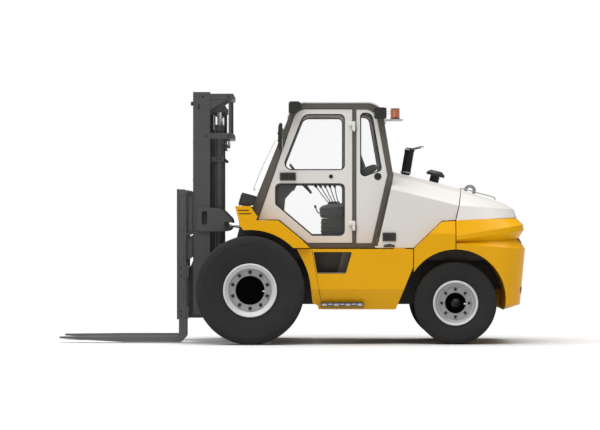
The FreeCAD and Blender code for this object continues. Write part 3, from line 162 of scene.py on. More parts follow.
def worn_edges():
    """Rounds the look of sharp edges, and masks where paint has rubbed thin along them."""
    tree, inlet, outlet = new_group("worn_edges", [("Radius", 0.004), ("Wear", 0.3)],
                                    [("Normal", "NodeSocketVector"), ("Mask", "NodeSocketFloat")])
    rounded = node(tree, "Bevel", {"Radius": inlet.outputs["Radius"]}, samples=4)
    flat = node(tree, "NewGeometry")
    facing = node(tree, "VectorMath", {0: rounded.outputs[0], 1: flat.outputs["Normal"]},
                  operation="DOT_PRODUCT")
    edge = node(tree, "MapRange", {"Value": facing.outputs["Value"], "From Min": 0.99,
                                   "From Max": 0.80, "To Min": 0.0, "To Max": 1.0})
    place = node(tree, "TexCoord")
    chips = node(tree, "TexNoise", {"Vector": place.outputs["Object"], "Scale": 23.0,
                                    "Detail": 6.0, "Roughness": 0.7})
    broken = node(tree, "MapRange", {"Value": chips.outputs["Fac"], "From Min": 0.52,
                                     "From Max": 0.66})
    both = node(tree, "Math", {0: edge.outputs[0], 1: broken.outputs[0]}, operation="MULTIPLY")
    scaled = node(tree, "Math", {0: both.outputs[0], 1: inlet.outputs["Wear"]},
                  operation="MULTIPLY", use_clamp=True)
    tree.links.new(rounded.outputs[0], outlet.inputs["Normal"])
    tree.links.new(scaled.outputs[0], outlet.inputs["Mask"])
    return tree


def road_dust():
    """Masks dust: thick near the ground, thin higher up, more on faces that look up, in patches."""
    tree, inlet, outlet = new_group("road_dust", [("Amount", 0.3), ("Reach", 1.2)],
                                    [("Mask", "NodeSocketFloat")])
    spot = node(tree, "NewGeometry")
    split = node(tree, "SeparateXYZ", {0: spot.outputs["Position"]})
    low = node(tree, "MapRange", {"Value": split.outputs["Z"], "From Min": inlet.outputs["Reach"],
                                  "From Max": 0.0, "To Min": 0.12, "To Max": 1.0})
    up = node(tree, "SeparateXYZ", {0: spot.outputs["Normal"]})
    lying = node(tree, "MapRange", {"Value": up.outputs["Z"], "From Min": 0.3, "From Max": 1.0,
                                    "To Min": 0.35, "To Max": 0.8})
    place = node(tree, "TexCoord")
    cloud = node(tree, "TexNoise", {"Vector": place.outputs["Object"], "Scale": 3.2,
                                    "Detail": 8.0, "Roughness": 0.62})
    patch = node(tree, "MapRange", {"Value": cloud.outputs["Fac"], "From Min": 0.35,
                                    "From Max": 0.75})
    first = node(tree, "Math", {0: low.outputs[0], 1: lying.outputs[0]}, operation="MULTIPLY")
    second = node(tree, "Math", {0: first.outputs[0], 1: patch.outputs[0]}, operation="MULTIPLY")
    whole = node(tree, "Math", {0: second.outputs[0], 1: inlet.outputs["Amount"]},
                 operation="MULTIPLY", use_clamp=True)
    tree.links.new(whole.outputs[0], outlet.inputs["Mask"])
    return tree


def fine_grain():
    """Height of sprayed paint's orange peel or a cast skin, and a slow unevenness of its tone."""
    tree, inlet, outlet = new_group("fine_grain", [("Scale", 400.0), ("Cloud", 4.0)],
                                    [("Height", "NodeSocketFloat"), ("Tone", "NodeSocketFloat")])
    place = node(tree, "TexCoord")
    peel = node(tree, "TexNoise", {"Vector": place.outputs["Object"],
                                   "Scale": inlet.outputs["Scale"], "Detail": 3.0})
    cloud = node(tree, "TexNoise", {"Vector": place.outputs["Object"],
                                    "Scale": inlet.outputs["Cloud"], "Detail": 5.0})
    tree.links.new(peel.outputs["Fac"], outlet.inputs["Height"])
    tree.links.new(cloud.outputs["Fac"], outlet.inputs["Tone"])
    return tree


edge_group, dust_group, grain_group = worn_edges(), road_dust(), fine_grain()


def grouped(tree, group, values):
    """A shader group placed in a material's tree with its own values."""
    made = node(tree, "Group", node_tree=group)
    for key, number in values.items():
        made.inputs[key].default_value = number
    return made


def painted(name, colour, rough, coat=0.0, metal=0.0, edge=0.003, wear=0.25,
            wear_colour=(0.30, 0.29, 0.28), dust=0.25, reach=1.2, dust_colour=(0.33, 0.29, 0.24),
            grain=400.0, bump=0.05, tone=0.06, shine=0.3):
    """Finish of one paint, casting or plastic: tone, dust, rubbed edges, skin and gloss."""
    made = bpy.data.materials.new(name)
    made.use_nodes = True
    tree = made.node_tree
    shader = tree.nodes["Principled BSDF"]
    worn = grouped(tree, edge_group, {"Radius": edge, "Wear": wear})
    dusty = grouped(tree, dust_group, {"Amount": dust, "Reach": reach})
    skin = grouped(tree, grain_group, {"Scale": grain, "Cloud": 4.0})
    dark = tuple(c * (1 - tone) for c in colour) + (1,)
    light = tuple(min(1, c * (1 + tone)) for c in colour) + (1,)
    base = node(tree, "Mix", {"Factor": skin.outputs["Tone"], 6: dark, 7: light}, data_type="RGBA")
    rubbed = node(tree, "Mix", {"Factor": worn.outputs["Mask"], 6: base.outputs[2],
                                7: wear_colour + (1,)}, data_type="RGBA")
    covered = node(tree, "Mix", {"Factor": dusty.outputs["Mask"], 6: rubbed.outputs[2],
                                 7: dust_colour + (1,)}, data_type="RGBA")
    tree.links.new(covered.outputs[2], shader.inputs["Base Color"])
    gloss = node(tree, "MapRange", {"Value": skin.outputs["Tone"], "From Min": 0.3,
                                    "From Max": 0.7, "To Min": rough * 0.9, "To Max": rough * 1.1})
    dull = node(tree, "Mix", {"Factor": dusty.outputs["Mask"], 2: gloss.outputs[0], 3: 0.85})
    tree.links.new(dull.outputs[0], shader.inputs["Roughness"])
    relief = node(tree, "Bump", {"Strength": bump, "Distance": 0.001,
                                 "Height": skin.outputs["Height"],
                                 "Normal": worn.outputs["Normal"]})
    tree.links.new(relief.outputs[0], shader.inputs["Normal"])
    shader.inputs["Metallic"].default_value = metal
    shader.inputs["Specular IOR Level"].default_value = shine
    shader.inputs["Coat Weight"].default_value = coat
    shader.inputs["Coat Roughness"].default_value = 0.12
    return made


def dress(finish, *names):
    """Gives CAD nodes their finish."""
    for name in names:
        mesh = truck_nodes[name].data
        mesh.materials.clear()
        mesh.materials.append(finish)


chassis_paint = painted("chassis_satin_black", (0.035, 0.034, 0.033), 0.5, edge=0.004, wear=0.5,
                        dust=0.6)
dress(chassis_paint, "chassis_frame", "drive_axle", "steer_axle", "knuckle_left",
      "knuckle_right")


# ---- Engine -------------------------------------------------------------------------------------
# The engine as one plain block of bare cast iron. It stands on top of the chassis rails, hidden
# under the hood.

cast_iron = painted("engine_cast_iron", (0.11, 0.11, 0.11), 0.7, metal=0.4, grain=140.0, bump=0.5,
                    wear=0.1)
dress(cast_iron, "engine_block")


# ---- Body panels --------------------------------------------------------------------------------
# Tanks and fenders of pressed and welded sheet and the cast iron counterweight, all in gloss
# machine yellow and bolted to the chassis. The hood and the rear cowl are sheet, in white.

yellow_paint = painted("machine_yellow", (0.71, 0.35, 0.0), 0.32, coat=0.08, edge=0.006,
                       shine=0.15, wear=0.12, wear_colour=(0.25, 0.16, 0.03), dust=0.10, reach=0.9)
white_paint = painted("hood_white", (0.63, 0.605, 0.57), 0.34, coat=0.12, edge=0.006, wear=0.06,
                      dust=0.08, tone=0.03)
dress(yellow_paint, "side_tanks", "front_fenders", "rear_fenders", "counterweight")
dress(white_paint, "rear_cowl", "hood_left", "hood_right", "hood_spine")


# ---- Cab shell ----------------------------------------------------------------------------------
# Welded steel tube frame in dark grey-brown, standing on the chassis. Its roof cap, doors and
# quarter panels are pressed sheet in light grey, and its panes are safety glass.

frame_paint = painted("cab_frame_grey", (0.10, 0.089, 0.077), 0.42, coat=0.1, edge=0.008,
                      wear=0.15, dust=0.12)
door_paint = painted("door_light_grey", (0.69, 0.67, 0.64), 0.40, coat=0.1, edge=0.006,
                     wear=0.08, dust=0.08, tone=0.03)
dress(frame_paint, "cab_frame", "cab_floor")
dress(door_paint, "door_left", "door_right", "cab_quarter_panels", "cab_roof")


def glazing(name, tint):
    """Thin safety glass: clear, glossy, with a faint tint."""
    made = bpy.data.materials.new(name)
    made.use_nodes = True
    tree = made.node_tree
    shader = tree.nodes["Principled BSDF"]
    smear = grouped(tree, grain_group, {"Scale": 60.0, "Cloud": 2.5})
    colour = node(tree, "Mix", {"Factor": smear.outputs["Tone"], 6: tint + (1,),
                                7: tuple(min(1, c * 1.03) for c in tint) + (1,)}, data_type="RGBA")
    tree.links.new(colour.outputs[2], shader.inputs["Base Color"])
    veil = node(tree, "MapRange", {"Value": smear.outputs["Tone"], "To Min": 0.02,
                                   "To Max": 0.05})
    tree.links.new(veil.outputs[0], shader.inputs["Alpha"])
    shader.inputs["Roughness"].default_value = 0.04
    return made


cab_glazing = glazing("cab_safety_glass", (0.86, 0.9, 0.9))
dress(cab_glazing, "cab_glass", "door_glass_left", "door_glass_right")


# ---- Mast and forks -----------------------------------------------------------------------------
# Rolled steel channels welded into two frames that slide in each other, in dark grey paint. The
# rods are chrome-plated, and the forks are forged and hang on the carriage's bars.

mast_paint = painted("mast_dark_grey", (0.066, 0.066, 0.066), 0.45, coat=0.05, edge=0.005, wear=0.3,
                     dust=0.2)
chrome_plate = painted("chrome_plate", (0.75, 0.75, 0.76), 0.12, metal=1.0, wear=0.0, dust=0.0,
                       bump=0.0, tone=0.02)
fork_steel = painted("forged_fork_black", (0.10, 0.10, 0.10), 0.42, edge=0.006, wear=0.8,
                     wear_colour=(0.32, 0.31, 0.30), dust=0.3)
dress(mast_paint, "outer_mast", "inner_mast", "lift_cylinders", "fork_carriage", "load_backrest",
      "tilt_barrels")
dress(chrome_plate, "lift_rods", "tilt_rods")
dress(fork_steel, "forks")


# ---- Tyres --------------------------------------------------------------------------------------
# Industrial pneumatic tyres, 12.00-20 in front and 8.25-16 behind: moulded black rubber with rim
# guard rings on the side and blocks cut into the middle of a closed-shoulder tread.

def turned(bm, centre, axis, profile, segments=48, bite=None, closed=False):
    """Revolves (along, radius) points, in millimetres, round an axis through centre."""
    axis = Vector(axis).normalized()
    side = axis.orthogonal().normalized()
    other = axis.cross(side)
    rings = []
    for along, radius in profile:
        middle = centre + axis * (along / 1000)
        if radius < 1e-6:
            rings.append([bm.verts.new(middle)])
            continue
        ring = []
        for k in range(segments):
            turn = 2 * math.pi * k / segments
            reach = (radius - (bite(k, along, radius) if bite else 0)) / 1000
            ring.append(bm.verts.new(
                middle + (side * math.cos(turn) + other * math.sin(turn)) * reach))
        rings.append(ring)
    pairs = list(zip(rings, rings[1:])) + ([(rings[-1], rings[0])] if closed else [])
    for low, high in pairs:
        for k in range(segments):
            n = (k + 1) % segments
            corners = [low[0]] if len(low) == 1 else [low[n], low[k]]
            corners += [high[0]] if len(high) == 1 else [high[k], high[n]]
            if len(corners) > 2:
                bm.faces.new(corners)


def finished(bm, name, finish, body, sharp=35):
    """Turns a built mesh into a piece with its finish, riding on its body if one is given."""
    bmesh.ops.recalc_face_normals(bm, faces=bm.faces)
    mesh = bpy.data.meshes.new(name)
    bm.to_mesh(mesh)
    bm.free()
    mesh.polygons.foreach_set("use_smooth", [True] * len(mesh.polygons))
    mesh.set_sharp_from_angle(angle=math.radians(sharp))
    mesh.materials.append(finish)
    made = bpy.data.objects.new(name, mesh)
    scene.collection.objects.link(made)
    if body:
        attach(made, body)
    return made


tyre_rubber = painted("tyre_rubber", (0.023, 0.023, 0.023), 0.78, shine=0.12, edge=0.003, wear=0.0,
                      dust=0.22, reach=1.6, dust_colour=(0.12, 0.11, 0.10), grain=180.0, bump=0.25)

SIDES = (("left", 1), ("right", -1))
# Half a tyre section: share of the width from its middle, share of the way from rim to tread.
TYRE_SECTION = [(0.36, 0.0), (0.39, 0.012), (0.425, 0.045), (0.436, 0.075), (0.425, 0.10),
                (0.452, 0.20), (0.481, 0.35), (0.494, 0.50), (0.497, 0.62), (0.491, 0.735),
                (0.495, 0.75), (0.488, 0.765), (0.478, 0.84), (0.462, 0.91), (0.435, 0.957),
                (0.39, 0.984), (0.34, 0.996), (0.285, 1.0), (0.278, 0.955), (0.235, 0.955),
                (0.228, 1.0), (0.16, 1.0), (0.07, 1.0), (0.063, 0.955), (0.02, 0.955)]
TREAD_BLOCKS = 40


def tread_cut(width, depth):
    """Depth of the cross cuts that split the middle of the tread into blocks."""
    def bite(k, along, radius):
        return depth if k % 4 == 0 and abs(along) < 0.23 * width else 0
    return bite


# End of the truck, tyre width and rim radius.
wheel_rows = (("front", 310, 272), ("rear", 235, 228))
for end, width, rim_r in wheel_rows:
    for side, sign in SIDES:
        name = f"tyre_{end}_{side}"
        low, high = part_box(name)
        centre = (low + high) / 2
        outer_r = (high.z - low.z) * 500
        half = [(s * width, rim_r + t * (outer_r - rim_r)) for s, t in TYRE_SECTION]
        section = half + [(-s, r) for s, r in reversed(half)]
        bm = bmesh.new()
        turned(bm, centre, (0, 1, 0), section, TREAD_BLOCKS * 4, tread_cut(width, 11), closed=True)
        tyre = finished(bm, f"tread_{end}_{side}", tyre_rubber, f"wheel_{end}_{side}", 28)
        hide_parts(name)


# ---- Rims and hubs ------------------------------------------------------------------------------
# Pressed steel disc wheels: bright rolled flange, grey disc held by a ring of nuts, and the dark
# planetary hub behind the hole in the middle, with the tyre valve in it.

def bolt(bm, centre, axis, across, height, washer=1.35):
    """A hexagon head or nut with its washer, standing on centre along axis."""
    radius = across / 2
    turned(bm, centre, axis, [(-1, 0), (-1, radius * washer), (height * 0.2, radius * washer),
                              (height * 0.25, radius * washer * 0.93), (height * 0.25, 0)], 20)
    turned(bm, centre, axis, [(height * 0.2, 0), (height * 0.2, radius * 1.1),
                              (height * 0.85, radius * 1.1), (height, radius * 0.88),
                              (height, 0)], 6)


rim_bright = painted("rim_flange_silver", (0.66, 0.66, 0.655), 0.33, metal=0.15, coat=0.2,
                     edge=0.002, wear=0.1, dust=0.12, reach=1.4)
disc_grey = painted("wheel_disc_grey", (0.32, 0.32, 0.32), 0.4, metal=0.15, edge=0.002,
                    wear=0.2, dust=0.2, reach=1.4)
hub_black = painted("hub_black", (0.001, 0.001, 0.001), 0.8, edge=0.002, wear=0.0, dust=0.0,
                    shine=0.02)
# Also used as painted shade for the plate on the floor of each mast bracket's slot.
nut_dark = painted("oxide_nuts_and_slot_shade", (0.03, 0.03, 0.03), 0.45, metal=0.6, edge=0.001, wear=0.3,
                   dust=0.1)

for end, width, rim_r in wheel_rows:
    front = end == "front"
    disc_y, hub_r, nut_r = (62, 151, 186) if front else (50, 109, 142)
    nuts = 10 if front else 8
    for side, sign in SIDES:
        dress(disc_grey, f"rim_{end}_{side}")
        low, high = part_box(f"tyre_{end}_{side}")
        centre = (low + high) / 2
        out = (0, sign, 0)
        body = f"wheel_{end}_{side}"
        lip = 0.42 * width
        bm = bmesh.new()
        turned(bm, centre, out,
               [(lip - 14, rim_r + 1), (lip - 4, rim_r + 6), (lip + 5, rim_r + 5),
                (lip + 11, rim_r - 1), (lip + 11, rim_r - 8), (lip + 5, rim_r - 15),
                (lip - 8, rim_r - 20), (lip - 20, rim_r - 28), (lip - 30, rim_r - 40),
                (disc_y + 24, rim_r - 47), (disc_y + 17, rim_r - 50),
                (disc_y + 14, rim_r - 44), (lip - 44, rim_r - 30), (lip - 30, rim_r - 8)],
               96, closed=True)
        finished(bm, f"flange_{end}_{side}", rim_bright, body)
        bm = bmesh.new()
        rise = disc_y + 16
        turned(bm, centre, out, [(rise - 4, rim_r - 56), (rise + 3, rim_r - 57),
                                 (rise + 5, rim_r - 61), (rise + 3, rim_r - 65),
                                 (rise - 4, rim_r - 66)], 96, closed=True)
        turned(bm, centre, out, [(rise - 4, hub_r + 14), (rise + 2, hub_r + 13),
                                 (rise + 4, hub_r + 9), (rise + 3, hub_r + 1),
                                 (disc_y - 3, hub_r - 1), (disc_y - 3, hub_r + 6)],
               96, closed=True)
        finished(bm, f"disc_beads_{end}_{side}", disc_grey, body)
        bm = bmesh.new()
        for k in range(nuts):
            turn = 2 * math.pi * (k + 0.25 * nuts) / nuts
            spot = centre + Vector((math.cos(turn) * nut_r, sign * rise,
                                    math.sin(turn) * nut_r)) / 1000
            bolt(bm, spot, out, 27 if front else 23, 16)
            turned(bm, spot, out, [(14, 0), (14, 6.5), (24, 6.5), (26, 5), (26, 0)], 12)
        finished(bm, f"wheel_nuts_{end}_{side}", nut_dark, body)
        bm = bmesh.new()
        turned(bm, centre, out, [(disc_y - 2, 0), (disc_y - 2, hub_r - 2),
                                 (disc_y + 1, hub_r - 2), (disc_y + 1.5, hub_r - 22),
                                 (disc_y + 6, hub_r - 26), (disc_y + 7, hub_r * 0.45),
                                 (disc_y + 12, hub_r * 0.42), (disc_y + 12, 0)], 64)
        for k in range(6):
            turn = math.pi * (k + 0.5) / 3
            spot = centre + Vector((math.cos(turn) * hub_r * 0.62, sign * (disc_y + 7),
                                    math.sin(turn) * hub_r * 0.62)) / 1000
            bolt(bm, spot, out, 15, 6)
        finished(bm, f"hub_cap_{end}_{side}", hub_black, body)
        bm = bmesh.new()
        valve = centre + Vector((-(hub_r - 14), sign * (disc_y + 4), -8)) / 1000
        turned(bm, valve, (-0.25, sign, 0), [(-4, 0), (-4, 9), (6, 9), (7, 5), (30, 5), (31, 7),
                                             (42, 7), (44, 5), (44, 0)], 16)
        finished(bm, f"valve_{end}_{side}", rim_bright, body)


# ---- Boarding step and pocket -------------------------------------------------------------------
# A dark tread bar with bright steel teeth on the tank's tucked edge, with its hanger plate, and the
# folded liner of the upper step pocket. One side of the pocket and its lip are a lighter grey:
# painted light, where the light falls on them.

def ease(bm, edges, soft):
    """Rounds edges off by soft millimetres, each edge once and in the order given."""
    bmesh.ops.bevel(bm, geom=list(dict.fromkeys(edges)), offset=soft / 1000, segments=2,
                    profile=0.5, affect="EDGES")


def slab(bm, low, high, soft=2.0):
    """A box between two corners in metres, with its edges eased by soft millimetres."""
    made = bmesh.ops.create_cube(bm, size=1)["verts"]
    centre, size = (low + high) / 2, high - low
    for v in made:
        v.co = Vector((v.co[i] * abs(size[i]) + centre[i] for i in range(3)))
    if soft:
        ease(bm, (e for v in made for e in v.link_edges), soft)


def block_of(bm, x, y, z, soft=2.0):
    """slab() from ranges in the truck's millimetres."""
    slab(bm, at(min(x), min(y), min(z)), at(max(x), max(y), max(z)), soft)


def rounded(corners, steps=6):
    """A closed outline of (a, b) points from (a, b, radius) corners."""
    outline = []
    count = len(corners)
    for i, corner in enumerate(corners):
        here = Vector(corner[:2])
        radius = corner[2] if len(corner) > 2 else 0
        if not radius:
            outline.append(here)
            continue
        back = (Vector(corners[i - 1][:2]) - here).normalized()
        ahead = (Vector(corners[(i + 1) % count][:2]) - here).normalized()
        half = back.angle(ahead) / 2
        reach = radius / math.tan(half)
        middle = here + (back + ahead).normalized() * (radius / math.sin(half))
        first, last = here + back * reach - middle, here + ahead * reach - middle
        sweep = math.pi - 2 * half
        turn = 1 if first.x * last.y - first.y * last.x > 0 else -1
        for k in range(steps + 1):
            a = turn * sweep * k / steps
            outline.append(middle + Vector((first.x * math.cos(a) - first.y * math.sin(a),
                                            first.x * math.sin(a) + first.y * math.cos(a))))
    return outline


def oblong(x, z, radius, steps=6):
    """rounded() for a rectangle given by its two ends along X and along Z."""
    return rounded([(x[0], z[0], radius), (x[1], z[0], radius), (x[1], z[1], radius),
                    (x[0], z[1], radius)], steps)


def prism(bm, near, far):
    """A solid between two equal rings of points, as its rings of vertices and its faces."""
    loops = [[bm.verts.new(p) for p in ring] for ring in (near, far)]
    faces = [bm.faces.new(loops[0]), bm.faces.new(list(reversed(loops[1])))]
    count = len(near)
    for k in range(count):
        n = (k + 1) % count
        faces.append(bm.faces.new((loops[0][k], loops[1][k], loops[1][n], loops[0][n])))
    bmesh.ops.recalc_face_normals(bm, faces=faces)
    return loops, faces


def plate(bm, outline, near, far, soft=1.5):
    """A flat plate: an (x, z) outline in millimetres, from Y near to Y far, edges eased."""
    loops = prism(bm, *([at(p[0], y, p[1]) for p in outline] for y in (near, far)))[0]
    if soft:
        ease(bm, (e for loop in loops for v in loop for e in v.link_edges
                  if all(w in loop for w in e.verts)), soft)


step_steel = painted("step_bright_steel", (0.62, 0.62, 0.63), 0.3, metal=0.9, edge=0.001, wear=0.3,
                     dust=0.2, grain=90.0, bump=0.3)
pocket_liner = painted("pocket_liner_grey", (0.075, 0.073, 0.066), 0.55, edge=0.002, wear=0.1,
                       dust=0.3)
# The liner's grey made lighter: painted light on the pocket's side wall and lip, where light falls.
pocket_painted_light_grey = painted("pocket_side_painted_light_grey", (0.20, 0.185, 0.165), 0.55, edge=0.002, wear=0.1,
                       dust=0.3)
dress(pocket_liner, "boarding_steps")
STEP_REAR, STEP_LENGTH, STEP_TEETH, TOOTH_GAP = -1161, 426, 7, 10
# The pocket's floor and top, and the two ends of each.
POCKET_LOW, POCKET_TOP, POCKET_DEEP, POCKET_LIP = 738, 952, 726, 916
for side, sign in SIDES:
    bm = bmesh.new()
    pitch = STEP_LENGTH / STEP_TEETH
    for k in range(STEP_TEETH):
        left = STEP_REAR + pitch * k + TOOTH_GAP / 2
        right = left + pitch - TOOTH_GAP
        foot = 411 if k % 2 else 404
        plate(bm, [(left, foot), (left, 418), (left + 5, 424), (right - 5, 424), (right, 418),
                   (right, foot)], sign * 922, sign * 932, 1.5)
    finished(bm, f"step_teeth_{side}", step_steel, "truck")
    bm = bmesh.new()
    plate(bm, oblong((-1166, -730), (429, 438), 3, 3), sign * 880, sign * 921, 1)
    for end_x in (-1168, -735):
        plate(bm, rounded([(end_x, 376, 4), (end_x + 7, 376, 3), (end_x + 7, 437, 3),
                           (end_x, 437, 3)], 3), sign * 878, sign * 926, 1)
    block_of(bm, (-1165, -731), (sign * 886, sign * 921), (376, 383), 1.5)
    finished(bm, f"step_hanger_{side}", pocket_liner, "truck")
    bm = bmesh.new()
    back_wall = rounded([(-655, POCKET_TOP, 8), (-692, 735, 8), (-983, 735, 8),
                         (-1047, POCKET_TOP, 8)], 3)
    plate(bm, back_wall, sign * (POCKET_DEEP - 5), sign * (POCKET_DEEP + 1), 1)
    for wall in ([(-692, 732.5), (-983, 732.5), (-984, POCKET_LOW), (-691, POCKET_LOW)],
                 [(-983, 736), (-989, 737), (-1050, POCKET_TOP), (-1044, POCKET_TOP)],
                 [(-690, 736), (-696, 736), (-658, POCKET_TOP), (-652, POCKET_TOP)]):
        plate(bm, wall, sign * POCKET_DEEP, sign * POCKET_LIP, 1)
    finished(bm, f"pocket_liner_{side}", pocket_liner, "truck")
    # side wall and lip of the pocket in the lighter grey, as painted light
    bm = bmesh.new()
    plate(bm, [(-982, POCKET_LOW), (-904, POCKET_LOW), (-951, POCKET_TOP), (-1043, POCKET_TOP)],
          sign * (POCKET_DEEP + 1), sign * (POCKET_DEEP + 10), 2)
    plate(bm, [(-985, 736), (-690, 736), (-692, 743), (-982, 743)], sign * 908, sign * 917, 1)
    finished(bm, f"pocket_side_{side}", pocket_painted_light_grey, "truck")


# ---- Louvred boxes on the front fenders ---------------------------------------------------------
# Sheet steel boxes on the front fenders, in the fenders' paint. Each has two air slots pressed
# into it with a folded lip over each, and a seam between its skirt and the tank. The slots are
# flat black plates: painted shade for the dark inside them.

# Black of the skirt seams, and painted shade for the insides of the air slots.
shade_and_seam_black = painted("shade_and_seam_black", (0.008, 0.008, 0.008), 0.7, edge=0.002, wear=0.0, dust=0.05)
AIR_SLOTS = ((13, 123, 1385), (-10, 114, 1349))
for side, sign in SIDES:
    bm = bmesh.new()
    # flat black plates in the slots: painted shade for the dark inside them
    for x0, x1, z in AIR_SLOTS:
        plate(bm, oblong((x0, x1), (z - 5, z + 5), 5, 4),
              sign * 958, sign * 965.5, 0.8)
    finished(bm, f"air_slots_{side}", shade_and_seam_black, "truck")
    bm = bmesh.new()
    for x0, x1, z in AIR_SLOTS:
        plate(bm, oblong((x0 - 4, x1 + 4), (z + 5, z + 10), 2, 3), sign * 960, sign * 968, 1)
    finished(bm, f"air_slot_lips_{side}", yellow_paint, "truck")
    # seam between the skirt and the tank
    bm = bmesh.new()
    plate(bm, [(-636, 972), (-640, 972), (-737, 421), (-733, 421)], sign * 918, sign * 920.6, 0)
    finished(bm, f"skirt_seam_{side}", shade_and_seam_black, "truck")


# ---- Hood fittings ------------------------------------------------------------------------------
# A flush paddle latch of moulded plastic in a dish on each hood door, with its striker plate.
# Both are screwed to the door's sheet.

black_plastic = painted("moulded_black_plastic", (0.022, 0.021, 0.02), 0.5, edge=0.002, wear=0.05,
                        dust=0.2, grain=220.0, bump=0.25)
handle_plastic = painted("handle_grey_plastic", (0.055, 0.053, 0.05), 0.5, edge=0.002, wear=0.05,
                         dust=0.15, grain=220.0, bump=0.25)
HOOD_SIDE_Y = 868
for side, sign in SIDES:
    body = f"hood_door_{side}"
    face = HOOD_SIDE_Y * sign
    bm = bmesh.new()
    plate(bm, oblong((-1365, -1505), (1065, 1155), 12), face - sign * 5, face + sign * 3, 1.5)
    finished(bm, f"latch_dish_{side}", handle_plastic, body)
    bm = bmesh.new()
    plate(bm, oblong((-1378, -1448), (1078, 1142), 6),
          face + sign * 2, face + sign * 7, 2)
    plate(bm, rounded([(-1455, 1080, 4), (-1494, 1080, 6), (-1494, 1104, 4), (-1470, 1104, 4),
                       (-1470, 1118, 4), (-1494, 1118, 4), (-1494, 1142, 6), (-1455, 1142, 4)], 3),
          face + sign * 2, face + sign * 6, 1.5)
    finished(bm, f"latch_paddle_{side}", black_plastic, body)
    bm = bmesh.new()
    plate(bm, rounded([(-1378, 1005, 3), (-1492, 1005, 3), (-1492, 1028, 8), (-1462, 1034, 6),
                       (-1436, 1042, 5), (-1408, 1034, 6), (-1378, 1028, 8)], 4),
          face - sign * 4, face + sign * 4, 1.5)
    bolt(bm, at(-1400, face + sign * 4, 1017), (0, sign, 0), 10, 4)
    bolt(bm, at(-1470, face + sign * 4, 1017), (0, sign, 0), 10, 4)
    finished(bm, f"latch_striker_{side}", handle_plastic, body)


def pipe(bm, points, radius, sides=12, closed=False, flat=1.0):
    """A tube along points in metres; flat thins it across its second direction."""
    count = len(points)
    rings = []
    up = None
    for i, point in enumerate(points):
        if closed:
            ahead = (points[(i + 1) % count] - points[i - 1]).normalized()
        else:
            ahead = (points[min(i + 1, count - 1)] - points[max(i - 1, 0)]).normalized()
        up = ahead.orthogonal() if up is None else up - ahead * up.dot(ahead)
        up = up.normalized()
        across = ahead.cross(up)
        rings.append([bm.verts.new(point + (up * math.cos(2 * math.pi * k / sides)
                                            + across * flat * math.sin(2 * math.pi * k / sides))
                                   * (radius / 1000)) for k in range(sides)])
    spans = list(zip(rings, rings[1:])) + ([(rings[-1], rings[0])] if closed else [])
    for a, b in spans:
        for k in range(sides):
            n = (k + 1) % sides
            bm.faces.new((a[k], b[k], b[n], a[n]))
    if not closed:
        bm.faces.new(rings[0])
        bm.faces.new(list(reversed(rings[-1])))


def eased(points, steps=5):
    """Rounds a run of points into a smooth line through the middle of each corner."""
    line = [points[0]]
    for before, here, after in zip(points, points[1:], points[2:]):
        start, stop = here.lerp(before, 0.4), here.lerp(after, 0.4)
        for k in range(steps + 1):
            t = k / steps
            line.append(start.lerp(here, t).lerp(here.lerp(stop, t), t))
    return line + [points[-1]]


# ---- Lifting eye --------------------------------------------------------------------------------
# A cast steel ring in grey metal on the counterweight's stem, which comes up through the cowl.
# Turned rings face its bore, and a bent grab bar of the same metal lies along the cowl.

eye_metal = painted("eye_grey_metal", (0.30, 0.30, 0.31), 0.4, metal=0.4, edge=0.006, wear=0.4,
                    dust=0.1)
dress(eye_metal, "lifting_eye")
bm = bmesh.new()
for turn_side in (1, -1):
    turned(bm, at(-2312, turn_side * 16, 1594), (0, turn_side, 0),
           [(0, 31), (0, 50), (3, 49), (4, 44), (4, 36), (2, 32)], 48, closed=True)
finished(bm, "eye_rings", eye_metal, "truck")
bm = bmesh.new()
grab = eased([at(-2200, 40, 1586), at(-2196, 40, 1612), at(-2230, 40, 1618), at(-2380, 40, 1574),
              at(-2540, 40, 1532), at(-2572, 40, 1520), at(-2576, 40, 1494)])
pipe(bm, grab, 6, 12)
finished(bm, "cowl_grab_bar", eye_metal, "truck")


# ---- Exhaust stack ------------------------------------------------------------------------------
# Steel pipe darkened by heat, inside a shield rolled from punched sheet. A band clamp with a bolt
# holds its foot, and a hinged rain cap closes its head.

stack_black = painted("stack_heat_black", (0.016, 0.016, 0.016), 0.55, metal=0.3, edge=0.002,
                      wear=0.3, dust=0.1)
clamp_steel = painted("clamp_steel", (0.5, 0.5, 0.5), 0.3, metal=0.9, edge=0.001, wear=0.2,
                      dust=0.1)
dress(stack_black, "exhaust_stack")
stack_foot, stack_head = at(-1630, 130, 1785), at(-1667, 130, 2008)
stack_axis = (stack_head - stack_foot).normalized()
bm = bmesh.new()
rows, columns, shield_r = 30, 44, 0.0495
length = (stack_head - stack_foot).length * 1000
side_dir = stack_axis.orthogonal().normalized()
other_dir = stack_axis.cross(side_dir)
grid = []
for i in range(rows + 1):
    grid.append([bm.verts.new(stack_foot + stack_axis * (length * i / rows / 1000)
                              + (side_dir * math.cos(2 * math.pi * k / columns)
                                 + other_dir * math.sin(2 * math.pi * k / columns)) * shield_r)
                 for k in range(columns)])
skin = []
for i in range(rows):
    for k in range(columns):
        n = (k + 1) % columns
        skin.append((i, k, bm.faces.new((grid[i][k], grid[i][n], grid[i + 1][n], grid[i + 1][k]))))
holes = [f for i, k, f in skin if 2 <= i < rows - 2 and (i + 1) % 2 == 0 and (k + i // 2) % 2 == 0]
bmesh.ops.inset_individual(bm, faces=holes, thickness=0.0012, depth=0)
bmesh.ops.delete(bm, geom=holes, context="FACES")
bmesh.ops.solidify(bm, geom=bm.faces[:], thickness=0.0015)
finished(bm, "stack_shield", stack_black, "truck", 60)
bm = bmesh.new()
turned(bm, at(-1630, 130, 1782), stack_axis, [(0, 50), (0, 53), (10, 53), (10, 50)], 40,
       closed=True)
lug = at(-1580, 130, 1790)
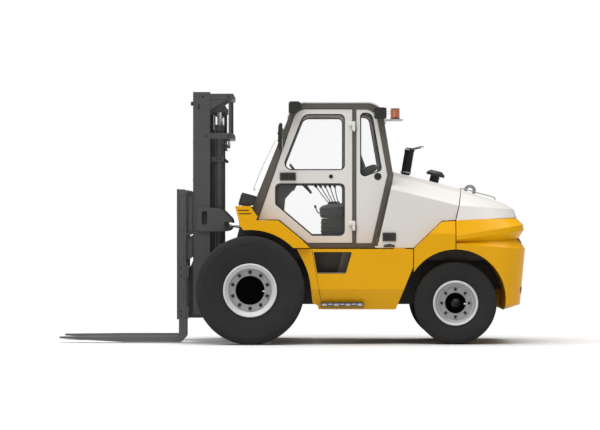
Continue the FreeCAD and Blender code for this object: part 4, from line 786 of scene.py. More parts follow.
slab(bm, lug - Vector((0.014, 0.008, 0.006)), lug + Vector((0.012, 0.008, 0.006)), 1.5)
bolt(bm, lug + Vector((0.004, 0.008, 0)), (0, 1, 0), 12, 7)
finished(bm, "stack_clamp", clamp_steel, "truck")
bm = bmesh.new()
turned(bm, stack_head, stack_axis, [(0, 46), (0, 52), (3, 53), (12, 53), (15, 51), (15, 46)], 40,
       closed=True)
lid_axis = Vector((-0.24, 0, 0.97)).normalized()
turned(bm, at(-1673, 130, 2027), lid_axis, [(0, 0), (0, 50), (3, 52), (7, 50), (9, 40), (10, 0)],
       40)
pipe(bm, eased([at(-1640, 130, 2044), at(-1700, 130, 2036), at(-1800, 130, 2062),
                at(-1822, 130, 2052)]), 4.5, 10)
finished(bm, "rain_cap", stack_black, "truck")


# ---- Air pre-cleaner ----------------------------------------------------------------------------
# Mushroom cap of grey moulded plastic over an intake neck of black plastic with sixteen ribs. It
# is pushed onto the stem that stands in the hood's spine.

cap_grey = painted("cap_grey_plastic", (0.16, 0.16, 0.16), 0.42, coat=0.15, edge=0.003, wear=0.05,
                   dust=0.15, reach=3.0)
dress(black_plastic, "air_precleaner")
cap_seat = at(-1956, -120, 1776)
cap_axis = (cap_seat - at(-1932, -120, 1679)).normalized()
bm = bmesh.new()
dome = [(-25, 88), (-25, 97)]
dome += [(-20 + 46 * math.sin(a), 98 * math.cos(a)) for a in [k * math.pi / 20 for k in range(10)]]
dome += [(26, 0)]
turned(bm, cap_seat, cap_axis, dome, 56)
finished(bm, "intake_dome", cap_grey, "truck")
bm = bmesh.new()
for k in range(16):
    turn = 2 * math.pi * k / 16
    side_v = cap_axis.orthogonal().normalized()
    out_v = (side_v * math.cos(turn) + cap_axis.cross(side_v) * math.sin(turn))
    foot = at(-1936, -120, 1695) + out_v * 0.047
    pipe(bm, [foot, foot + cap_axis * 0.052], 3.2, 8)
turned(bm, at(-1935, -120, 1690), cap_axis, [(0, 46), (0, 51), (9, 51), (9, 46)], 40, closed=True)
finished(bm, "intake_neck_ribs", black_plastic, "truck")


# ---- Counterweight fittings ---------------------------------------------------------------------
# Tail lamps in the upper corners, reflectors below them, the slatted radiator outlet and the tow
# pin, all bolted to the casting, and the casting's own keel between the wheels.

lens_red = painted("lens_red", (0.45, 0.01, 0.008), 0.15, coat=0.8, edge=0.003, wear=0.0,
                   dust=0.1, grain=900.0, bump=0.2)
tail_mesh = truck_nodes["counterweight"].data
tail_skin = BVHTree.FromPolygons([v.co for v in tail_mesh.vertices],
                                 [p.vertices[:] for p in tail_mesh.polygons])
tail_rims, tail_reds = bmesh.new(), bmesh.new()
for y, z, radius in ((640, 1085, 52), (-640, 1085, 52), (690, 560, 36), (-690, 560, 36)):
    spot, normal = tail_skin.ray_cast(at(-3200, y, z), Vector((1, 0, 0)))[:2]
    turned(tail_rims, spot, normal, [(-30, 0), (-30, radius), (2, radius), (4, radius - 3),
                                     (4, radius - 7), (1, radius - 8), (1, 0)], 40)
    turned(tail_reds, spot, normal, [(1, 0), (1, radius - 8), (5, radius - 10),
                                     (8, radius * 0.5), (9, 0)], 40)
finished(tail_rims, "tail_lamp_rims", black_plastic, "truck")
finished(tail_reds, "tail_lamp_lenses", lens_red, "truck")
lens_clear = painted("lens_clear", (0.75, 0.76, 0.76), 0.12, coat=0.8, edge=0.003, wear=0.0,
                     dust=0.08, grain=700.0, bump=0.3)
bm = bmesh.new()
for k in range(8):
    z = 640 + 38 * k
    block_of(bm, (-2800, -2790), (-292, 292), (z, z + 6), 1.5)
for y in (-292, 0, 292):
    block_of(bm, (-2806, -2792), (y - 7, y + 7), (628, 932), 2)
finished(bm, "radiator_slats", black_plastic, "truck")
bm = bmesh.new()
plate(bm, rounded([(-2640, 362, 10), (-2470, 362, 30), (-2470, 866, 10), (-2640, 866, 10)]),
      -30, 30, 6)
finished(bm, "counterweight_keel", yellow_paint, "truck")
bm = bmesh.new()
pipe(bm, [at(-2797, 0, 440), at(-2797, 0, 612)], 15, 24)
turned(bm, at(-2797, 0, 612), (0, 0, 1), [(0, 0), (0, 26), (10, 26), (13, 22), (13, 0)], 28)
ring_line = [at(-2797 + 22 * math.cos(a), 0, 640 + 22 * math.sin(a))
             for a in [2 * math.pi * k / 20 for k in range(20)]]
pipe(bm, ring_line, 5, 10, closed=True)
finished(bm, "tow_pin", nut_dark, "truck")


# ---- Window seals -------------------------------------------------------------------------------
# Black rubber extrusion, pressed by hand round every window opening of the doors and quarter
# panels, where it holds the pane against the sheet.

seal_rubber = painted("seal_rubber", (0.018, 0.018, 0.018), 0.6, edge=0.002, wear=0.0, dust=0.1)
UPPER_WINDOW = [(-549, 2383, 90), (-979, 2383, 55), (-979, 1800, 55), (-318, 1800, 75)]
LOWER_WINDOW = [(-256, 1665, 50), (-979, 1665, 50), (-979, 1120, 55), (-641, 1120, 25),
                (-256, 1447, 30)]
QUARTER_WINDOW = [(-1137, 2397, 45), (-1262, 2397, 75), (-1366, 1800, 40), (-1137, 1715, 50)]


def drawn_in(outline, inset):
    """The outline moved inwards by inset, seen from its own middle side."""
    count = len(outline)
    area = sum(outline[i - 1].x * outline[i].y - outline[i].x * outline[i - 1].y
               for i in range(count))
    hand = 1 if area > 0 else -1
    moved = []
    for i in range(count):
        ahead = (outline[(i + 1) % count] - outline[i - 1]).normalized()
        moved.append(outline[i] + Vector((-ahead.y, ahead.x)) * inset * hand)
    return moved


def band(bm, outline, wide, near, far, soft=1.0):
    """A closed flat strip inside an outline, wide across, from Y near to Y far."""
    inner = drawn_in(outline, wide)
    loops = [[bm.verts.new(at(p.x, y, p.y)) for p in line]
             for line, y in ((outline, near), (outline, far), (inner, far), (inner, near))]
    count = len(outline)
    for a, b in zip(loops, loops[1:] + loops[:1]):
        for k in range(count):
            n = (k + 1) % count
            bm.faces.new((a[k], b[k], b[n], a[n]))
    if soft:
        bmesh.ops.recalc_face_normals(bm, faces=bm.faces)
        ease(bm, (e for loop in loops for k in range(count) for e in loop[k].link_edges
                  if e.other_vert(loop[k]) is loop[(k + 1) % count]), soft)


for side, sign in SIDES:
    for label, window, body, near, far in (
            ("upper", UPPER_WINDOW, f"cab_door_{side}", 682.5, 716),
            ("lower", LOWER_WINDOW, f"cab_door_{side}", 682.5, 716),
            ("quarter", QUARTER_WINDOW, "truck", 676, 716)):
        bm = bmesh.new()
        band(bm, rounded(window, 8), 12, sign * near, sign * far, 3)
        finished(bm, f"seal_{label}_{side}", seal_rubber, body)
    bm = bmesh.new()
    door_edge = rounded([(-481, 2433, 140), (-1056, 2433, 8), (-1056, 1048, 8), (-591, 1048, 20),
                         (-296, 1289, 20), (-81, 1289, 12)], 8)
    band(bm, drawn_in(door_edge, 3), 14, sign * 676, sign * 682, 1)
    finished(bm, f"door_weather_strip_{side}", seal_rubber, f"cab_door_{side}")
    # pull handle with its thumb latch, lock knob, and the round cap on the quarter panel
    bm = bmesh.new()
    plate(bm, oblong((-305, -471), (1693, 1776), 8),
          sign * 721, sign * 741, 3)
    finished(bm, f"door_handle_dish_{side}", handle_plastic, f"cab_door_{side}")
    bm = bmesh.new()
    plate(bm, oblong((-318, -392), (1704, 1765), 5),
          sign * 740.5, sign * 744, 1.5)
    plate(bm, oblong((-402, -460), (1704, 1765), 6),
          sign * 740.5, sign * 747, 3)
    turned(bm, at(-450, sign * 747, 1715), (0, sign, 0), [(-2, 0), (-2, 6), (2, 5.5), (2, 0)], 20)
    finished(bm, f"door_handle_pull_{side}", black_plastic, f"cab_door_{side}")
    bm = bmesh.new()
    turned(bm, at(-835, sign * 722, 1736), (0, sign, 0),
           [(-4, 0), (-4, 21), (4, 21), (7, 18), (8, 11), (6, 10), (6, 0)], 32)
    turned(bm, at(-835, sign * 728, 1736), (0, sign, 0),
           [(-1, 0), (-1, 8), (5, 7), (6, 0)], 20)
    finished(bm, f"door_lock_{side}", black_plastic, f"cab_door_{side}")
    bm = bmesh.new()
    turned(bm, at(-1320, sign * 724, 1736), (0, sign, 0),
           [(-4, 0), (-4, 38), (4, 38), (8, 34), (9, 24), (6, 22), (6, 0)], 40)
    for k in range(5):
        turn = 2 * math.pi * k / 5
        slot_at = at(-1320 + 12 * math.cos(turn), sign * 731, 1736 + 12 * math.sin(turn))
        turned(bm, slot_at, (0, sign, 0), [(-2, 0), (-2, 3.5), (2, 3), (2, 0)], 10)
    finished(bm, f"filler_cap_{side}", black_plastic, "truck")


# ---- Door hinges --------------------------------------------------------------------------------
# Bright cast hinge leaves over the steel ones of the doors, with two screws in each, and a bright
# sleeve and pin head on the half of each hinge that stays on the cab frame.

HINGE_X, HINGE_Y, HINGE_HEIGHTS = -1072, 748, (2211, 1181)
HINGE_BARREL = [(0, 13.2), (0, 15), (1, 16), (46, 16), (47, 15), (47, 13.2)]
hinge_metal = painted("hinge_bright", (0.78, 0.77, 0.76), 0.4, metal=0.0, coat=0.2, edge=0.003,
                      wear=0.3, dust=0.1)
for side, sign in SIDES:
    bm = bmesh.new()
    for z in HINGE_HEIGHTS:
        block_of(bm, (-1050, -1016), (sign * 722.5, sign * 745), (z + 49, z + 95), 3)
        for dz in (60, 84):
            bolt(bm, at(-1030, sign * 745, z + dz), (0, sign, 0), 9, 4)
        turned(bm, at(HINGE_X, sign * HINGE_Y, z + 49), (0, 0, 1), HINGE_BARREL, 28, closed=True)
    finished(bm, f"hinge_leaf_{side}", hinge_metal, f"cab_door_{side}")
    bm = bmesh.new()
    for z in HINGE_HEIGHTS:
        turned(bm, at(HINGE_X, sign * HINGE_Y, z), (0, 0, 1), HINGE_BARREL, 28, closed=True)
        turned(bm, at(HINGE_X, sign * HINGE_Y, z - 5), (0, 0, 1),
               [(-4, 0), (-4, 8), (-1, 11), (5, 11), (5, 0)], 24)
    finished(bm, f"hinge_knuckle_{side}", hinge_metal, "truck")


# ---- Roof lamps, headlamps and beacon -----------------------------------------------------------
# Square work lamps with finned backs at the roof's corners, headlamps over the louvres, and an
# amber beacon on a shelf behind the roof.

dress(black_plastic, "lamps", "mirrors")


def lamp_face(bm_shell, bm_lens, centre, facing, wide, high):
    """A bezel and its ribbed lens in front of a lamp box; facing is +1 forward, -1 to the rear."""
    y0, z0 = centre[1], centre[2]
    x = centre[0]
    rim = oblong((-wide / 2, wide / 2), (-high / 2, high / 2), 14, 5)
    for bmx, outline, near, far, soft in (
            (bm_shell, rim, -3, 6, 2), (bm_lens, drawn_in(rim, 11), 4, 8, 1.5)):
        front = prism(bmx, *([at(x + facing * d, y0 + p.x, z0 + p.y) for p in outline]
                             for d in (near, far)))[0][1]
        ease(bmx, (e for k, v in enumerate(front) for e in v.link_edges
                   if e.other_vert(v) is front[(k + 1) % len(front)]), soft)
    for k in range(5):
        rib = y0 - wide / 2 + 20 + k * (wide - 40) / 4
        block_of(bm_lens, (x + facing * 6, x + facing * 9.5), (rib - 2, rib + 2),
                 (z0 - high / 2 + 16, z0 + high / 2 - 16), 1)


WORK_LAMP_Y = 802
shells, lenses = bmesh.new(), bmesh.new()
for side, sign in SIDES:
    for x, z, facing in ((-404, 2447, 1), (-1400, 2389, -1)):
        lamp_face(shells, lenses, (x, sign * WORK_LAMP_Y, z), facing, 112, 114)
    for k in range(6):
        front_z, rear_z = max(2404 + 17 * k, 2436), 2340 + 17 * k
        block_of(shells, (-525, -516), (sign * 750, sign * 852), (front_z, front_z + 4), 1)
        block_of(shells, (-1287, -1280), (sign * 750, sign * 852), (rear_z, rear_z + 4), 1)
    block_of(shells, (-500, -408), (sign * 765, sign * 840), (2506, 2511), 1.5)
    # headlamp glass in the sloping front face
    glass_low = at(121, 0, 1446)
    glass_top = at(86, 0, 1560)
    slope = glass_low - glass_top
    normal = Vector((-slope.z, 0, slope.x)).normalized()
    if normal.x < 0:
        normal = -normal
    corners = [glass_top + slope * t + Vector((0, sign * y / 1000, 0))
               for t, y in ((0.06, 782), (0.06, 918), (0.94, 918), (0.94, 782))]
    faces = prism(lenses, *([c + normal * d for c in corners] for d in (0.0005, 0.006)))[1]
    ease(lenses, (e for f in faces for e in f.edges), 2)
finished(shells, "lamp_bezels", black_plastic, "truck")
finished(lenses, "lamp_glasses", lens_clear, "truck")

guard_grey = painted("headlamp_side_grey", (0.03, 0.028, 0.026), 0.5, edge=0.003, wear=0.1,
                     dust=0.2)
bm = bmesh.new()
for side, sign in SIDES:
    plate(bm, rounded([(76, 1561, 6), (-50, 1527, 6), (-34, 1449, 6), (106, 1441, 6)], 4),
          sign * 928, sign * 933, 1.5)
    bolt(bm, at(-22, sign * 933, 1474), (0, sign, 0), 10, 4)
    bolt(bm, at(-34, sign * 933, 1516), (0, sign, 0), 10, 4)
finished(bm, "headlamp_sides", guard_grey, "truck")

amber_lens = bpy.data.materials.new("beacon_amber")
amber_lens.use_nodes = True
tree = amber_lens.node_tree
shader = tree.nodes["Principled BSDF"]
ribs = grouped(tree, grain_group, {"Scale": 260.0, "Cloud": 9.0})
amber_mix = node(tree, "Mix", {"Factor": ribs.outputs["Tone"], 6: (0.30, 0.06, 0.01, 1),
                               7: (0.62, 0.17, 0.04, 1)}, data_type="RGBA")
tree.links.new(amber_mix.outputs[2], shader.inputs["Base Color"])
shader.inputs["Roughness"].default_value = 0.12
shader.inputs["Coat Weight"].default_value = 0.7
relief = node(tree, "Bump", {"Strength": 0.15, "Distance": 0.001, "Height": ribs.outputs["Height"]})
tree.links.new(relief.outputs[0], shader.inputs["Normal"])

shelf_metal = painted("beacon_shelf_metal", (0.5, 0.5, 0.5), 0.35, metal=0.6, edge=0.002,
                      wear=0.2, dust=0.1, reach=4.0)
bm = bmesh.new()
plate(bm, rounded([(-1408, 2315.5, 3), (-1584, 2315.5, 3), (-1584, 2336, 4), (-1408, 2336, 4)]),
      427, 553, 1.5)
for x, z in ((-1412, 2398), (-1412, 2420)):
    pipe(bm, [at(x, 490, z), at(-1456, 490, z)], 3.2, 10)
finished(bm, "beacon_shelf", shelf_metal, "truck")
beacon_base = at(-1506, 490, 2336)
bm = bmesh.new()
turned(bm, beacon_base, (0, 0, 1), [(0, 0), (0, 50), (9, 50), (11, 47), (13, 42), (13, 0)], 48)
turned(bm, beacon_base, (0, 0, 1), [(104, 0), (104, 46), (109, 46), (113, 42), (113, 0)], 48)
finished(bm, "beacon_base", black_plastic, "truck")
bm = bmesh.new()
wall = [(13, 40), (13, 45), (17, 48)]
for k in range(9):
    wall += [(20 + 9 * k, 48.5), (24.5 + 9 * k, 46.8)]
wall += [(103, 48), (105, 44), (105, 0)]
turned(bm, beacon_base, (0, 0, 1), [(13, 0)] + wall, 48)
amber_piece = finished(bm, "beacon_lens", amber_lens, "truck")
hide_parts("beacon")


# ---- Mirrors and wiper --------------------------------------------------------------------------
# Silvered mirrors on bent tube arms, clamped in front of the posts. A single wiper with a black
# steel arm and a rubber blade turns on a pivot through the windscreen's lower left.

mirror_glass = painted("mirror_silver", (0.8, 0.82, 0.84), 0.04, metal=1.0, edge=0.002, wear=0.0,
                       dust=0.03, bump=0.0)
for side, sign in SIDES:
    bm = bmesh.new()
    for z in (2060, 2225):
        pipe(bm, eased([at(-316, sign * 740, z - 10), at(-300, sign * 780, z),
                        at(-300, sign * 850, z), at(-310, sign * 880, z)]), 7, 12)
    pipe(bm, eased([at(-296, sign * 812, 2035), at(-292, sign * 812, 2150),
                    at(-296, sign * 812, 2262)]), 7, 12)
    for z in (2108, 2180):
        block_of(bm, (-306, -284), (sign * 800, sign * 824), (z - 12, z + 12), 3)
        bolt(bm, at(-284, sign * 812, z), (1, 0, 0), 10, 5)
    finished(bm, f"mirror_arm_{side}", black_plastic, "truck")
    bm = bmesh.new()
    block_of(bm, (-333.5, -329), (sign * 838, sign * 982), (2010, 2275), 1.5)
    finished(bm, f"mirror_face_{side}", mirror_glass, "truck")

wiper_black = painted("wiper_black", (0.02, 0.02, 0.02), 0.45, edge=0.001, wear=0.1, dust=0.05)
bm = bmesh.new()


def screen_x(z, stand=0):
    """X of the windscreen's face at a height, stood off by some millimetres."""
    return -75 + 6 + stand - (z - 1324) * 442 / 1100


pivot = at(screen_x(1500, 10), 420, 1500)
turned(bm, pivot, (1, 0, 0.4), [(-14, 0), (-14, 16), (6, 16), (10, 11), (24, 10), (26, 0)], 24)
tip = at(screen_x(2150, 34), 300, 2150)
pipe(bm, eased([pivot + Vector((0.018, 0, 0.008)), at(screen_x(1760, 44), 380, 1760), tip]), 5, 10,
     flat=0.6)
blade_low, blade_top = at(screen_x(1880, 12), 300, 1880), at(screen_x(2330, 12), 300, 2330)
pipe(bm, [blade_low, blade_low.lerp(blade_top, 0.5), blade_top], 6, 8, flat=0.5)
for t in (0.2, 0.8):
    hold = blade_low.lerp(blade_top, t)
    pipe(bm, eased([hold, hold.lerp(tip, 0.35) + Vector((0.012, 0, 0)), tip]), 3, 8)
finished(bm, "wiper", wiper_black, "truck")
bm = bmesh.new()
grab_run = eased([at(-36, 700, 1604), at(-30, 715, 1598), at(-120, 722, 1830),
                  at(-262, 722, 2112)])
turned(bm, at(-44, 705, 1600), (0, 1, 0), [(-10, 0), (-10, 7), (8, 8), (12, 5), (12, 0)], 18)
pipe(bm, grab_run, 3, 8)
finished(bm, "grab_rod", shelf_metal, "truck")


# ---- Seat ---------------------------------------------------------------------------------------
# Suspension seat: foam cushion and backrest under woven black cloth with sewn channels and piping,
# padded armrests, a ribbed rubber bellows over the suspension, and its adjusting lever.

def woven_cloth(name, colour, thread):
    """Plain-woven seat cloth: crossed threads in colour and height, with sheen and lint."""
    made = bpy.data.materials.new(name)
    made.use_nodes = True
    tree = made.node_tree
    shader = tree.nodes["Principled BSDF"]
    place = node(tree, "TexCoord")
    waves = []
    for axis in ("X", "Y", "Z"):
        wave = node(tree, "TexWave", {"Vector": place.outputs["Object"], "Scale": thread,
                                      "Distortion": 0.6, "Detail": 1.0},
                    wave_type="BANDS", bands_direction=axis)
        waves.append(wave.outputs["Fac"])
    one = node(tree, "Math", {0: waves[0], 1: waves[1]}, operation="MULTIPLY")
    weave = node(tree, "Math", {0: one.outputs[0], 1: waves[2]}, operation="ADD")
    lint = grouped(tree, grain_group, {"Scale": 700.0, "Cloud": 12.0})
    tone = node(tree, "Mix", {"Factor": weave.outputs[0],
                              6: tuple(c * 0.55 for c in colour) + (1,), 7: colour + (1,)},
                data_type="RGBA")
    faded = node(tree, "Mix", {"Factor": lint.outputs["Tone"], 6: tone.outputs[2],
                               7: tuple(c * 1.5 for c in colour) + (1,)}, data_type="RGBA")
    tree.links.new(faded.outputs[2], shader.inputs["Base Color"])
    shader.inputs["Roughness"].default_value = 0.85
    shader.inputs["Sheen Weight"].default_value = 0.3
    relief = node(tree, "Bump", {"Strength": 0.5, "Distance": 0.001, "Height": weave.outputs[0]})
    tree.links.new(relief.outputs[0], shader.inputs["Normal"])
    return made


seat_cloth = woven_cloth("seat_black_cloth", (0.028, 0.028, 0.03), 260.0)
piping_vinyl = painted("seat_piping_vinyl", (0.012, 0.012, 0.012), 0.45, edge=0.001, wear=0.0,
                       dust=0.05)


def cushion(name, centre, size, lean, crown, channels, fineness=26, power=5.0):
    """A crowned pad of size (x, y, z) in millimetres, leaned back by lean degrees about Y, with
    sewn channels across its face at the given shares of its width."""
    bm = bmesh.new()
    bmesh.ops.create_cube(bm, size=2)
    bmesh.ops.subdivide_edges(bm, edges=bm.edges[:], cuts=fineness, use_grid_fill=True)
    turn = Matrix.Rotation(math.radians(lean), 3, "Y")
    for v in bm.verts:
        p = v.co.copy()
        top = max(abs(c) for c in p)
        reach = sum(abs(c) ** power for c in p) ** (1 / power)
        p = p * (top / reach)
        swell = (1 - min(1, p.x * p.x)) * (1 - min(1, p.y * p.y))
        waist = 1 - 0.03 * (1 - p.y * p.y) * abs(p.x)
        q = Vector((p.x * size[0] / 2 * waist, p.y * size[1] / 2 * (1 - 0.02 * (1 - p.x * p.x)),
                    p.z * size[2] / 2))
        if p.z > 0:
            q.z += crown * swell * p.z
            for share in channels:
                gap = (p.y - share) * size[1] / 2
                q.z -= 7 * math.exp(-(gap / 7) ** 2) * min(1, 3 * (1 - abs(p.x))) * p.z
        v.co = centre + (turn @ q) / 1000
    made = finished(bm, name, seat_cloth, "truck", 80)
    bm = bmesh.new()
    line = []
    for k in range(72):
        a = 2 * math.pi * k / 72
        c, s = math.cos(a), math.sin(a)
        scale = (abs(c) ** power + abs(s) ** power) ** (-1 / power)
        q = Vector((c * scale * size[0] / 2 * 0.985, s * scale * size[1] / 2 * 0.985,
                    size[2] * 0.27))
        line.append(centre + (turn @ q) / 1000)
    pipe(bm, line, 4, 8, closed=True)
    finished(bm, name + "_piping", piping_vinyl, "truck")
    return made


seat_pad = cushion("seat_cushion_pad", at(-868, 0, 1372), (300, 480, 132), 3, 16,
                   (-0.5, 0, 0.5))
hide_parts("seat_cushion")
back_lean = -90 + 16.6
back_pad = cushion("seat_back_pad", at(-1184, 0, 1700), (735, 460, 105), back_lean, 14,
                   (-0.45, 0.45))
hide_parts("seat_backrest")
for side, sign in SIDES:
    cushion(f"armrest_{side}", at(-1160, sign * 292, 1690) if sign < 0 else
            at(-1236, sign * 292, 1806), (190 if sign > 0 else 300, 62, 78),
            24 if sign > 0 else 0, 5, (), fineness=12, power=3.2)
    bm = bmesh.new()
    start = at(-1236, sign * 262, 1790) if sign > 0 else at(-1280, sign * 262, 1680)
    pipe(bm, [start, start + Vector((0, -sign * 0.03, 0))], 24, 20)
    finished(bm, f"armrest_hinge_{side}", black_plastic, "truck")
dress(black_plastic, "seat_base", "dashboard", "steering_wheel")
bm = bmesh.new()
for k in range(7):
    z = 1132 + 22 * k
    inset = 0 if k % 2 else 9
    block_of(bm, (-1146 + inset, -734 - inset), (-226 + inset, 226 - inset), (z, z + 21), 7)
finished(bm, "seat_bellows", seal_rubber, "truck")
bm = bmesh.new()
pipe(bm, eased([at(-760, 236, 1372), at(-720, 240, 1356), at(-700, 240, 1362),
                at(-678, 240, 1412)]), 6, 12)
turned(bm, at(-680, 240, 1408), (0.3, 0, 1), [(0, 0), (0, 8), (8, 12), (26, 12), (32, 7), (33, 0)],
       20)
for y in (-215, 215):
    block_of(bm, (-1120, -745), (y - 12, y + 12), (1290, 1300), 2)
finished(bm, "seat_slides", nut_dark, "truck")


# ---- Levers, steering wheel and dashboard -------------------------------------------------------
# Five hydraulic levers with knobs on a console right of the seat, a dished wheel on its column,
# and a moulded dash with a display and gauges.

lever_steel = painted("lever_black_steel", (0.02, 0.02, 0.02), 0.35, metal=0.4, edge=0.001,
                      wear=0.2, dust=0.03)
bm = bmesh.new()
block_of(bm, (-975, -800), (-362, -262), (1046, 1452), 10)
block_of(bm, (-968, -808), (-356, -268), (1450, 1462), 5)
for i in range(5):
    foot = at(-831 - 24 * i, -312, 1452)
    knob = at(-691 - 49 * i, -312, 1632)
    turned(bm, foot, (0, 0, 1), [(0, 0), (0, 14), (12, 13), (18, 11), (24, 10), (30, 7), (30, 0)],
           16)
    pipe(bm, eased([foot, foot.lerp(knob, 0.5) + Vector((0.004, 0, 0)), knob]), 5, 10)
    turned(bm, knob, knob - foot, [(-6, 0), (-6, 8), (4, 13), (18, 15), (30, 12), (36, 5),
                                   (37, 0)], 20)
levers = finished(bm, "lever_set", lever_steel, "truck")
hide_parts("control_levers")

wheel_centre = at(-520, 0, 1720)
wheel_axis = Vector((-144, 0, 106)).normalized()
bm = bmesh.new()
for k in range(3):
    turn = math.pi / 2 + 2 * math.pi * k / 3
    across = wheel_axis.cross(Vector((0, 1, 0))).normalized()
    rim_at = wheel_centre + (Vector((0, 1, 0)) * math.cos(turn) + across * math.sin(turn)) * 0.176
    pipe(bm, [wheel_centre - wheel_axis * 0.022, (wheel_centre + rim_at) / 2
              - wheel_axis * 0.016, rim_at], 12, 12, flat=0.5)
turned(bm, wheel_centre - wheel_axis * 0.034, wheel_axis,
       [(0, 0), (0, 40), (14, 46), (24, 42), (30, 30), (32, 0)], 40)
knob_at = wheel_centre + Vector((0, 1, 0)) * 0.17 + wheel_axis * 0.012
turned(bm, knob_at, wheel_axis, [(0, 0), (0, 9), (14, 9), (20, 20), (38, 23), (50, 17), (54, 0)],
       28)
turned(bm, wheel_centre - wheel_axis * 0.10, wheel_axis,
       [(-40, 0), (-40, 62), (-8, 54), (0, 40), (30, 34), (64, 32), (64, 0)], 32)
finished(bm, "wheel_spokes", black_plastic, "truck")

display_glass = painted("display_glass", (0.01, 0.012, 0.014), 0.08, coat=0.6, edge=0.001,
                        wear=0.0, dust=0.02)
bm, glass = bmesh.new(), bmesh.new()
for y, r in ((-150, 42), (-40, 42), (70, 42)):
    spot = at(-372, y, 1656)
    turned(bm, spot, (0, 0, 1), [(-4, r - 8), (-4, r + 4), (4, r + 4), (7, r), (5, r - 6)], 36,
           closed=True)
    turned(glass, spot, (0, 0, 1), [(-3, 0), (-3, r - 5), (3, r - 6), (3, 0)], 36)
slab(bm, at(-440, 150, 1652), at(-300, 262, 1664), 5)
slab(glass, at(-430, 160, 1662), at(-310, 252, 1666), 2)
for k in range(6):
    block_of(bm, (-470, -452), (-250 + 40 * k, -224 + 40 * k), (1644, 1652), 3)
finished(bm, "dash_bezels", handle_plastic, "truck")
finished(glass, "dash_glasses", display_glass, "truck")

mat_rubber = painted("floor_mat_rubber", (0.02, 0.02, 0.02), 0.8, edge=0.002, wear=0.0, dust=0.4,
                     reach=2.4, grain=120.0, bump=0.4)
bm = bmesh.new()
block_of(bm, (-728, -600), (-520, 520), (1045.5, 1051), 2)
for k in range(16):
    y = -500 + 66 * k
    block_of(bm, (-722, -606), (y, y + 26), (1050, 1053.5), 1)
finished(bm, "floor_mat_ribs", mat_rubber, "truck")


# ---- Wheelhouse covers --------------------------------------------------------------------------
# Dark pressed liners inside the front fenders, following their arch, and folded ribbed covers that
# close the engine bay above the rear axle.

FRONT_ARCH_R, FRONT_HUB_Z = 634, 561
bm = bmesh.new()
for side, sign in SIDES:
    crown = [(FRONT_ARCH_R * math.cos(a) * 1.04, FRONT_HUB_Z + FRONT_ARCH_R * math.sin(a) * 1.04)
             for a in [math.radians(80 + 5 * k) for k in range(15)]]
    shoulder = FRONT_HUB_Z + FRONT_ARCH_R * math.sin(math.radians(56)) * 1.04
    plate(bm, [(140, 880), (140, shoulder), *crown, (-600, 880)], sign * 692, sign * 697, 0)
finished(bm, "front_wheelhouse_liners", chassis_paint, "truck")

bm = bmesh.new()
for side, sign in SIDES:
    plate(bm, [(-1700, 866), (-2640, 866), (-2640, 1010), (-2140, 1080), (-2120, 1240),
               (-1990, 1240), (-1760, 1060), (-1700, 985)], sign * 604, sign * 608, 1)
    for x in (-1790, -2000, -2220, -2440):
        plate(bm, [(x, 872), (x - 26, 872), (x - 26, 1000), (x, 1000)], sign * 607, sign * 612, 1.5)
    block_of(bm, (-2640, -1700), (sign * 560, sign * 606), (866, 871), 1.5)
finished(bm, "wheelhouse_covers", chassis_paint, "truck")


# ---- Mast fittings ------------------------------------------------------------------------------
# Stop bolts, bracket pins, cylinder clamps and plugs on the outer rails, all of plain steel bolted
# on, and a dark plate on the floor of each bracket's slot as painted shade.

MAST_EYE_X, MAST_EYE_Z = 255, 1243
bm = bmesh.new()
for side, sign in SIDES:
    for z in (2455, 2482):
        bolt(bm, at(540, sign * 550, z), (0, sign, 0), 16, 9)
    turned(bm, at(600, sign * 500, 2498), (1, 0, 0), [(-2, 0), (-2, 22), (20, 22), (24, 17),
                                                     (24, 0)], 24)
    for x, z in ((230, 2572), (500, 2572), (230, 2160), (470, 2160)):
        bolt(bm, at(x, sign * 549.5, z), (0, sign, 0), 15, 8)
    turned(bm, at(MAST_EYE_X, sign * 639, MAST_EYE_Z), (0, sign, 0),
           [(-2, 0), (-2, 24), (5, 24), (7, 20), (7, 0)], 28)
    for x, z in ((318, 1925), (352, 1925), (406, 1912)):
        bolt(bm, at(x, sign * 478, z), (0, sign, 0), 13, 7)
    for x, z in ((600, 1250), (600, 1700), (600, 2100)):
        turned(bm, at(x - 3, sign * 566 - sign * 30, z), (1, 0, 0),
               [(0, 0), (0, 9), (5, 8), (6, 0)], 16)
    turned(bm, at(267, sign * 428, 1908), (0, sign, 0), [(-12, 0), (-12, 16), (12, 16), (14, 12),
                                                         (14, 0)], 20)
    pipe(bm, [at(267, sign * 428, 1908), at(290, sign * 428, 1912)], 8, 10)
    turned(bm, at(216, sign * 592, 470), (0, sign, 0), [(0, 30.5), (0, 44), (6, 44), (8, 40),
                                                       (8, 30.5)], 32, closed=True)
    # dark plate on the bracket slot's floor: painted shade
    plate(bm, oblong((432, 508), (1232, 1390), 30),
          sign * 551, sign * 554, 0.5)
finished(bm, "mast_fasteners", nut_dark, "mast")
bm = bmesh.new()
for side, sign in SIDES:
    centre = at(330, sign * 428, 2275)
    turned(bm, centre, (0, 0, 1), [(-14, 49), (-14, 53), (-4, 53), (2, 50), (6, 38), (7, 26),
                                   (2, 24), (-2, 40)], 40, closed=True)
    for k in range(6):
        turn = 2 * math.pi * k / 6
        spot = centre + Vector((math.cos(turn), math.sin(turn), 0)) * 0.0385
        bolt(bm, spot, (0, 0, 1), 8, 5)
    line = eased([at(372, sign * 405, 470), at(392, sign * 400, 500), at(392, sign * 400, 1500),
                  at(392, sign * 404, 2210), at(372, sign * 420, 2236)])
    pipe(bm, line, 7, 10)
    for z in (760, 1260, 1760):
        block_of(bm, (374, 402), (sign * 392, sign * 412), (z - 10, z + 10), 2)
finished(bm, "cylinder_heads_and_pipes", mast_paint, "mast")


